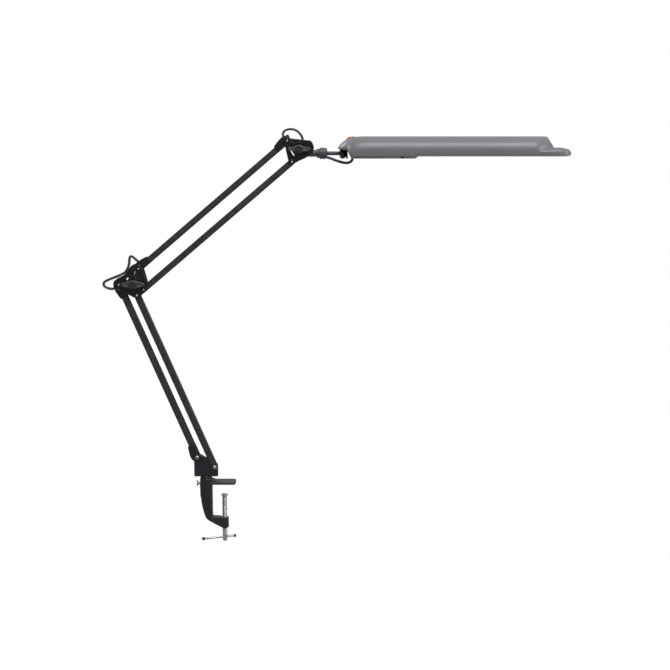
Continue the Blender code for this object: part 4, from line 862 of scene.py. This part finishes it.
def shade():
    xs = [251.6, 251.9, 252.3, 252.8, 253.5, 254.4, 255.5, 257, 258.6, 260.4, 262.4, 264.6, 267, 269.2, 270.6, 271.2, 271.8, 272.6, 273.4, 274.2, 275, 275.8, 276.4, 277.0, 277.6, 279,
          281.5, 284.5, 288, 292, 297, 303, 312, 330]
    xs += [330 + 20 * k for k in range(1, 17)] + [655 + 1.5 * k for k in range(0, 42)] + [719, 722, 725, 728, 731, 733.5, 735.5, 737.2, 738.6, 739.8, 740.7, 741.4, 741.8, 742.0]
    xs = sorted(set(xs))
    low = [math.radians(0 + 42 * i / 44) for i in range(44)]
    mid = [math.radians(42 + 96 * i / 40) for i in range(41)]
    angles = low + mid + [math.pi - a for a in reversed(low)]
    wall = 2.2
    inner_xs = [x for x in xs if 254.0 < x < 739.7]
    bm = bmesh.new()
    outer = [[bm.verts.new((x, y, z)) for y, z in shade_section(x, angles)] for x in xs]
    inner = [[bm.verts.new((x, y, z)) for y, z in shade_section(x, angles, wall)] for x in inner_xs]
    for grid in (outer, inner):
        for a, b in zip(grid, grid[1:]):
            for i in range(len(a) - 1):
                bm.faces.new((a[i], a[i + 1], b[i + 1], b[i]))
        bm.faces.new(grid[0][::-1])
        bm.faces.new(grid[-1])
    # the rim under the wall: a strip on each side, fanned at both ends
    first, last = xs.index(inner_xs[0]), xs.index(inner_xs[-1])
    for side in (0, -1):
        o, n = [r[side] for r in outer], [r[side] for r in inner]
        for i in range(len(o) - 1):
            if i < first:
                bm.faces.new((o[i], o[i + 1], n[0]))
            elif i < last:
                bm.faces.new((o[i], o[i + 1], n[i + 1 - first], n[i - first]))
            else:
                bm.faces.new((o[i], o[i + 1], n[-1]))
    bm.faces.new((outer[0][0], inner[0][0], inner[0][-1], outer[0][-1]))
    bm.faces.new((outer[-1][0], outer[-1][-1], inner[-1][-1], inner[-1][0]))
    o = make("lamp_shade", bm)
    sw = Matrix.Translation((278.3, 0, 756.7)) @ Matrix.Rotation(math.radians(-18), 4, "Y")
    cut(o, block("t_switch", (-10.8, -9.2, -8), (10.8, 9.2, 8), sw))
    bevel(o, 0.45, 2, 55)
    settle(o, GRAPHITE, "head", ["shade"], 42)

    body = block("switch_frame", (-10.4, -8.8, -12.0), (10.4, 8.8, 1.2))
    cut(body, block("t_well", (-9.3, -7.5, -5.2), (9.3, 7.5, 6)))
    bevel(body, 0.5, 3, 50)
    settle(body, PLASTIC, "head", ["switch_body"], 35, sw)
    top = [(-8.3, -0.2), (-8.4, 1.4), (-6.5, 3.3), (-3.5, 4.6), (2.0, 3.8), (8.5, 1.9), (8.2, -1.6), (2.2, -3.8), (-2.2, -3.6)]
    r = slab("orange_rocker", [round_loop(top, 1.2)], -7.0, 7.0, 0.6)
    settle(r, ORANGE, "rocker", ["switch_rocker"], 35, sw)


def head():
    shade()
    p = turned("pan_pivot_pin", [(0, 714.2), (3.4, 714.2), (4.3, 715.0), (4.3, 716.7), (3.0, 716.7), (3.0, 734.3), (5.0, 734.3), (5.0, 736.2), (4.0, 737.2), (0, 737.2)], (PAN_X, 0, 0), seg=40, soft=0.4)
    settle(p, RIVET, "head", ["pan_pin"], 40)
    hinge = block("pan_hinge_bracket", (254.5, -8.5, 717.0), (271.8, 8.5, 734.0))
    cut(hinge, block("t1", (240, -20, 718.8), (269.0, 20, 732.2)))
    add(hinge, block("t2", (269.2, -13, 714.2), (272.4, 13, 740.0)))
    cut(hinge, rod("t3", 3.3, 700, 750, (PAN_X, 0, 0)))
    bevel(hinge, 0.6, 3, 50)
    settle(hinge, PLASTIC, "head", ["hinge_bracket"], 35)

    # ballast cover: a tray with a soft rim, shallow vent lines and a chamfered end
    x0, x1, h, zb = 278.5, 420.0, 50.0, 716.0
    side = [(x0, zb), (x1 - 6.2, zb), (x1, zb + 4.2), (x1, 738.0), (x0, 738.0)]
    c = slab("ballast_cover", [round_loop(side, 1.6)], -h, h, 1.4, 3)
    tools = [block("t1", (x0 + 2, -h + 2, zb + 2), (x1 - 2, h - 2, 760)), rod("t2", 1.6, -60, -44, (387.0, 0, 718.9), "Y")]
    for k in range(12):
        x = 306 + 7.0 * k
        tools.append(block("t_v%d" % k, (x, -30, zb - 2), (x + 2.6, 30, zb + 0.7)))
    cut(c, *tools)
    bevel(c, 0.3, 2, 55)
    settle(c, WARM, "head", ["electronics_cover"], 35)
    s = turned("cover_fixing_screw", [(0, -50.5), (1.5, -50.5), (2.1, -50.38), (2.3, -50.3), (1.3, -50.3), (1.3, -45.5), (0, -45.5)], (387.0, 0, 718.9), "Y", 28)
    settle(s, PLASTIC, "head", ["cover_screw"], 30)
    tint(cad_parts["ballast"], WHITE)
    sk = block("lamp_socket", (420.6, -20, 731), (434.0, 20, 753.5))
    cut(sk, block("t1", (431.5, -15.5, 735.0), (440, 15.5, 749.5)))
    bevel(sk, 0.9, 3, 50)
    settle(sk, WHITE, "head", ["tube_socket"], 35)
    b = block("lamp_base", (434.4, -19, 733.5), (452.0, 19, 751.5))
    bevel(b, 2.6, 5, 50)
    for k in range(3):
        x = 438.0 + 4.0 * k
        g = block("t_g", (x, -30, 700), (x + 1.2, 30, 734.2))
        cut(b, g)
    settle(b, WHITE, "head", ["tube_base"], 35)
    prof = [(0, 452.4), (8.7, 452.4), (8.7, 650.0), (8.45, 653.2), (7.6, 656.6), (6.0, 659.6), (3.4, 661.5), (0, 662.0)]
    g = turned("twin_limb_tube", prof, (0, -10.6, 742.5), "X", 48)
    add(g, turned("t_limb", prof, (0, 10.6, 742.5), "X", 48), rod("t_link", 5.0, -6, 6, (646, 0, 742.5), "Y", 40))
    settle(g, TUBE, "head", ["fluorescent_tube"], 50)
    bm = bmesh.new()
    a = round_open([(-47.5, 723.5), (-31, 753.6), (31, 753.6), (47.5, 723.5)], 5.0, 6)
    b2 = round_open([(-46.4, 723.5), (-30.4, 752.7), (30.4, 752.7), (46.4, 723.5)], 4.4, 6)
    loop = a + b2[::-1]
    rows = [[bm.verts.new((x, y, z)) for y, z in loop] for x in [436.0 + 234.0 * k / 12 for k in range(13)]]
    for u, v in zip(rows, rows[1:]):
        for i in range(len(loop)):
            j = (i + 1) % len(loop)
            bm.faces.new((u[i], v[i], v[j], u[j]))
    n = len(a)
    for row, flip in ((rows[0], False), (rows[-1], True)):
        for i in range(n - 1):
            f = [row[i], row[i + 1], row[2 * n - 2 - i], row[2 * n - 1 - i]]
            bm.faces.new(f if not flip else f[::-1])
    settle(make("folded_reflector", bm), BRIGHT, "head", ["reflector"], 30)
    strap = [(-22.4, 738), (-21.2, 752.3), (21.2, 752.3), (22.4, 738), (20.6, 738), (19.9, 751.5), (-19.9, 751.5), (-20.6, 738)]
    bm = bmesh.new()
    ca = [bm.verts.new((616.0, y, z)) for y, z in strap]
    cb = [bm.verts.new((624.0, y, z)) for y, z in strap]
    bm.faces.new(ca)
    bm.faces.new(cb[::-1])
    for i in range(len(strap)):
        j = (i + 1) % len(strap)
        bm.faces.new((ca[i], cb[i], cb[j], ca[j]))
    clip = make("tube_spring_clip", bm)
    bevel(clip, 0.3, 2, 40)
    settle(clip, BRIGHT, "head", ["tube_clip"], 35)


# =====================================================================================
# flat twin lead between the arms, the elbow and the head
# =====================================================================================
def lead(name, node, route, twist):
    """A figure-of-eight lead swept along its route. twist is how far it turns from lying flat to the front, in degrees."""
    pts = spline(route, 1.1)
    a, c = 1.5, 1.42
    beta = math.pi - math.acos(c / a)
    prof = [(c + a * math.cos(f), a * math.sin(f)) for f in [-beta + 2 * beta * i / 13 for i in range(14)]]
    prof += [(-x, -z) for x, z in prof]
    bm = bmesh.new()
    rows = []
    n = len(pts)
    for i, p in enumerate(pts):
        t = (pts[min(n - 1, i + 1)] - pts[max(0, i - 1)]).normalized()
        y = Vector((0, 1, 0))
        side = y.cross(t).normalized()
        up = t.cross(side).normalized()
        f = i / (n - 1) * (len(twist) - 1)
        k = min(int(f), len(twist) - 2)
        g = f - k
        g = g * g * (3 - 2 * g)
        w = math.radians(twist[k] + (twist[k + 1] - twist[k]) * g)
        u = side * math.cos(w) + up * math.sin(w)
        v = -side * math.sin(w) + up * math.cos(w)
        rows.append([bm.verts.new(p + u * q[0] + v * q[1]) for q in prof])
    for u, v in zip(rows, rows[1:]):
        for i in range(len(prof)):
            j = (i + 1) % len(prof)
            bm.faces.new((u[i], u[j], v[j], v[i]))
    bm.faces.new(rows[0][::-1])
    bm.faces.new(rows[-1])
    o = make(name, bm)
    settle(o, SHEATH, None, [node], 50)
    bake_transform(o)
    return o


def leads():
    r = [(E1.x + x, 0, E1.y + z) for x, z in ((-7.6, -5.2), (-11.9, -8.3), (-17.4, -9.6), (-25.0, -8.2), (-31.6, -4.8), (-34.4, 0.2), (-32.0, 5.6), (-24.2, 10.0), (-14.8, 13.8), (-5.0, 17.6), (4.2, 21.6))]
    lead("elbow_lead_lower", "cable_elbow_lower", r, (30, 12, 4, 8, 20))
    r = [(E3.x + x, 0, E3.y + z) for x, z in ((-38.2, -12.6), (-30.0, -7.6), (-24.2, 1.2), (-21.2, 11.6), (-20.4, 20.6), (-18.6, 25.6), (-14.6, 26.2), (-9.4, 22.4), (-3.4, 16.8), (1.4, 12.2))]
    lead("elbow_lead_upper", "cable_elbow_upper", r, (20, 8, 2, 24, 12))
    r = [(K2.x + x, 0, K2.y + z) for x, z in ((-32.2, 21.6), (-33.7, 27.4), (-34.4, 32.0), (-31.8, 36.8), (-26.0, 40.2), (-17.4, 41.6), (-8.0, 39.6), (-0.2, 34.2), (5.2, 27.0), (7.6, 20.0), (8.0, 15.6))]
    lead("top_lead", "cable_top", r, (30, 46, 44, 40, 30))
    r = [(x, 0, z) for x, z in ((225.6, 718.0), (229.4, 716.8), (236.4, 714.6), (246, 710.8), (256, 707.6), (265, 705.5), (272.6, 705.4), (278.6, 707.8), (281.8, 711.6), (282.5, 715.2), (282.6, 718.2))]
    lead("head_lead", "cable_head", r, (20, 6, 0, 6, 12))


# =====================================================================================
# camera, light and floor
# =====================================================================================
def studio():
    cam = bpy.data.cameras.new("camera")
    cam.lens = 74.97
    cam.sensor_width = 36.0
    cam.clip_end = 60.0
    c = bpy.data.objects.new("camera", cam)
    c.location = (0.2452, -3.0, 0.8251)
    c.rotation_euler = (math.radians(80.68), 0, 0)
    scene.collection.objects.link(c)
    scene.camera = c
    scene.view_settings.view_transform = "Standard"

    # the air is white to look at, and gives a soft light that is stronger from above
    world = bpy.data.worlds.new("studio_air")
    world.use_nodes = True
    n, link = world.node_tree.nodes, world.node_tree.links.new
    bg = n["Background"]
    co = n.new("ShaderNodeTexCoord")
    sep = n.new("ShaderNodeSeparateXYZ")
    link(co.outputs["Generated"], sep.inputs[0])
    up = n.new("ShaderNodeMapRange")
    up.inputs["From Min"].default_value = -0.5
    up.inputs["From Max"].default_value = 0.8
    up.inputs["To Min"].default_value = 0.10
    up.inputs["To Max"].default_value = 0.62
    link(sep.outputs["Z"], up.inputs["Value"])
    path = n.new("ShaderNodeLightPath")
    pick = n.new("ShaderNodeMix")
    pick.data_type = "FLOAT"
    link(path.outputs["Is Camera Ray"], pick.inputs[0])
    link(up.outputs["Result"], pick.inputs[2])
    pick.inputs[3].default_value = 1.0
    bg.inputs["Color"].default_value = (1.0, 1.0, 1.0, 1.0)
    link(pick.outputs[0], bg.inputs["Strength"])
    scene.world = world

    bm = bmesh.new()
    prof = [(0.0, -0.62), (2.0, -0.62), (4.0, -0.62), (5.4, -0.56), (6.3, -0.30), (6.8, 0.2), (7.0, 0.9), (7.0, 2.2)]
    seg = 64
    rings = [[bm.verts.new((0, 0, prof[0][1]))]] + [[bm.verts.new((r * math.cos(2 * math.pi * k / seg), r * math.sin(2 * math.pi * k / seg), z)) for k in range(seg)] for r, z in prof[1:]]
    for k in range(seg):
        j = (k + 1) % seg
        bm.faces.new((rings[0][0], rings[1][k], rings[1][j]))
        for a, b in zip(rings[1:], rings[2:]):
            bm.faces.new((a[k], b[k], b[j], a[j]))
    me = bpy.data.meshes.new("floor")
    bm.to_mesh(me)
    bm.free()
    me.shade_smooth()
    floor = bpy.data.objects.new("floor", me)
    scene.collection.objects.link(floor)
    m = bpy.data.materials.new("floor_paper")
    m.use_nodes = True
    n, link = m.node_tree.nodes, m.node_tree.links.new
    n.clear()
    out = n.new("ShaderNodeOutputMaterial")
    dif = n.new("ShaderNodeBsdfDiffuse")
    dif.inputs["Color"].default_value = (0.34, 0.34, 0.34, 1)
    emi = n.new("ShaderNodeEmission")
    emi.inputs["Color"].default_value = (1, 1, 1, 1)
    emi.inputs["Strength"].default_value = 1.0
    path = n.new("ShaderNodeLightPath")
    both = n.new("ShaderNodeMixShader")
    link(path.outputs["Is Camera Ray"], both.inputs["Fac"])
    link(dif.outputs[0], both.inputs[1])
    link(emi.outputs[0], both.inputs[2])
    clear = n.new("ShaderNodeBsdfTransparent")
    geo = n.new("ShaderNodeNewGeometry")
    mixer = n.new("ShaderNodeMixShader")
    link(geo.outputs["Backfacing"], mixer.inputs["Fac"])
    link(both.outputs[0], mixer.inputs[1])
    link(clear.outputs[0], mixer.inputs[2])
    link(mixer.outputs[0], out.inputs["Surface"])
    floor.data.materials.append(m)

    def lamp(name, where, at, size, power, size_y=None):
        d = bpy.data.lights.new(name, "AREA")
        d.shape = "RECTANGLE"
        d.size, d.size_y = size, size_y or size
        d.energy = power
        o = bpy.data.objects.new(name, d)
        o.location = where
        o.rotation_euler = (Vector(at) - Vector(where)).to_track_quat("-Z", "Y").to_euler()
        scene.collection.objects.link(o)

    lamp("key_light", (0.8, -1.5, 3.1), (0.25, 0, 0.5), 1.8, 66)
    lamp("right_light", (3.2, -0.9, 1.3), (0.2, 0, 0.4), 1.6, 34)
    lamp("rear_light", (-1.6, 2.2, 2.4), (0.2, 0, 0.5), 1.4, 26)


clamp()
base()
arms()
brackets()
wrist()
head()
leads()
studio()
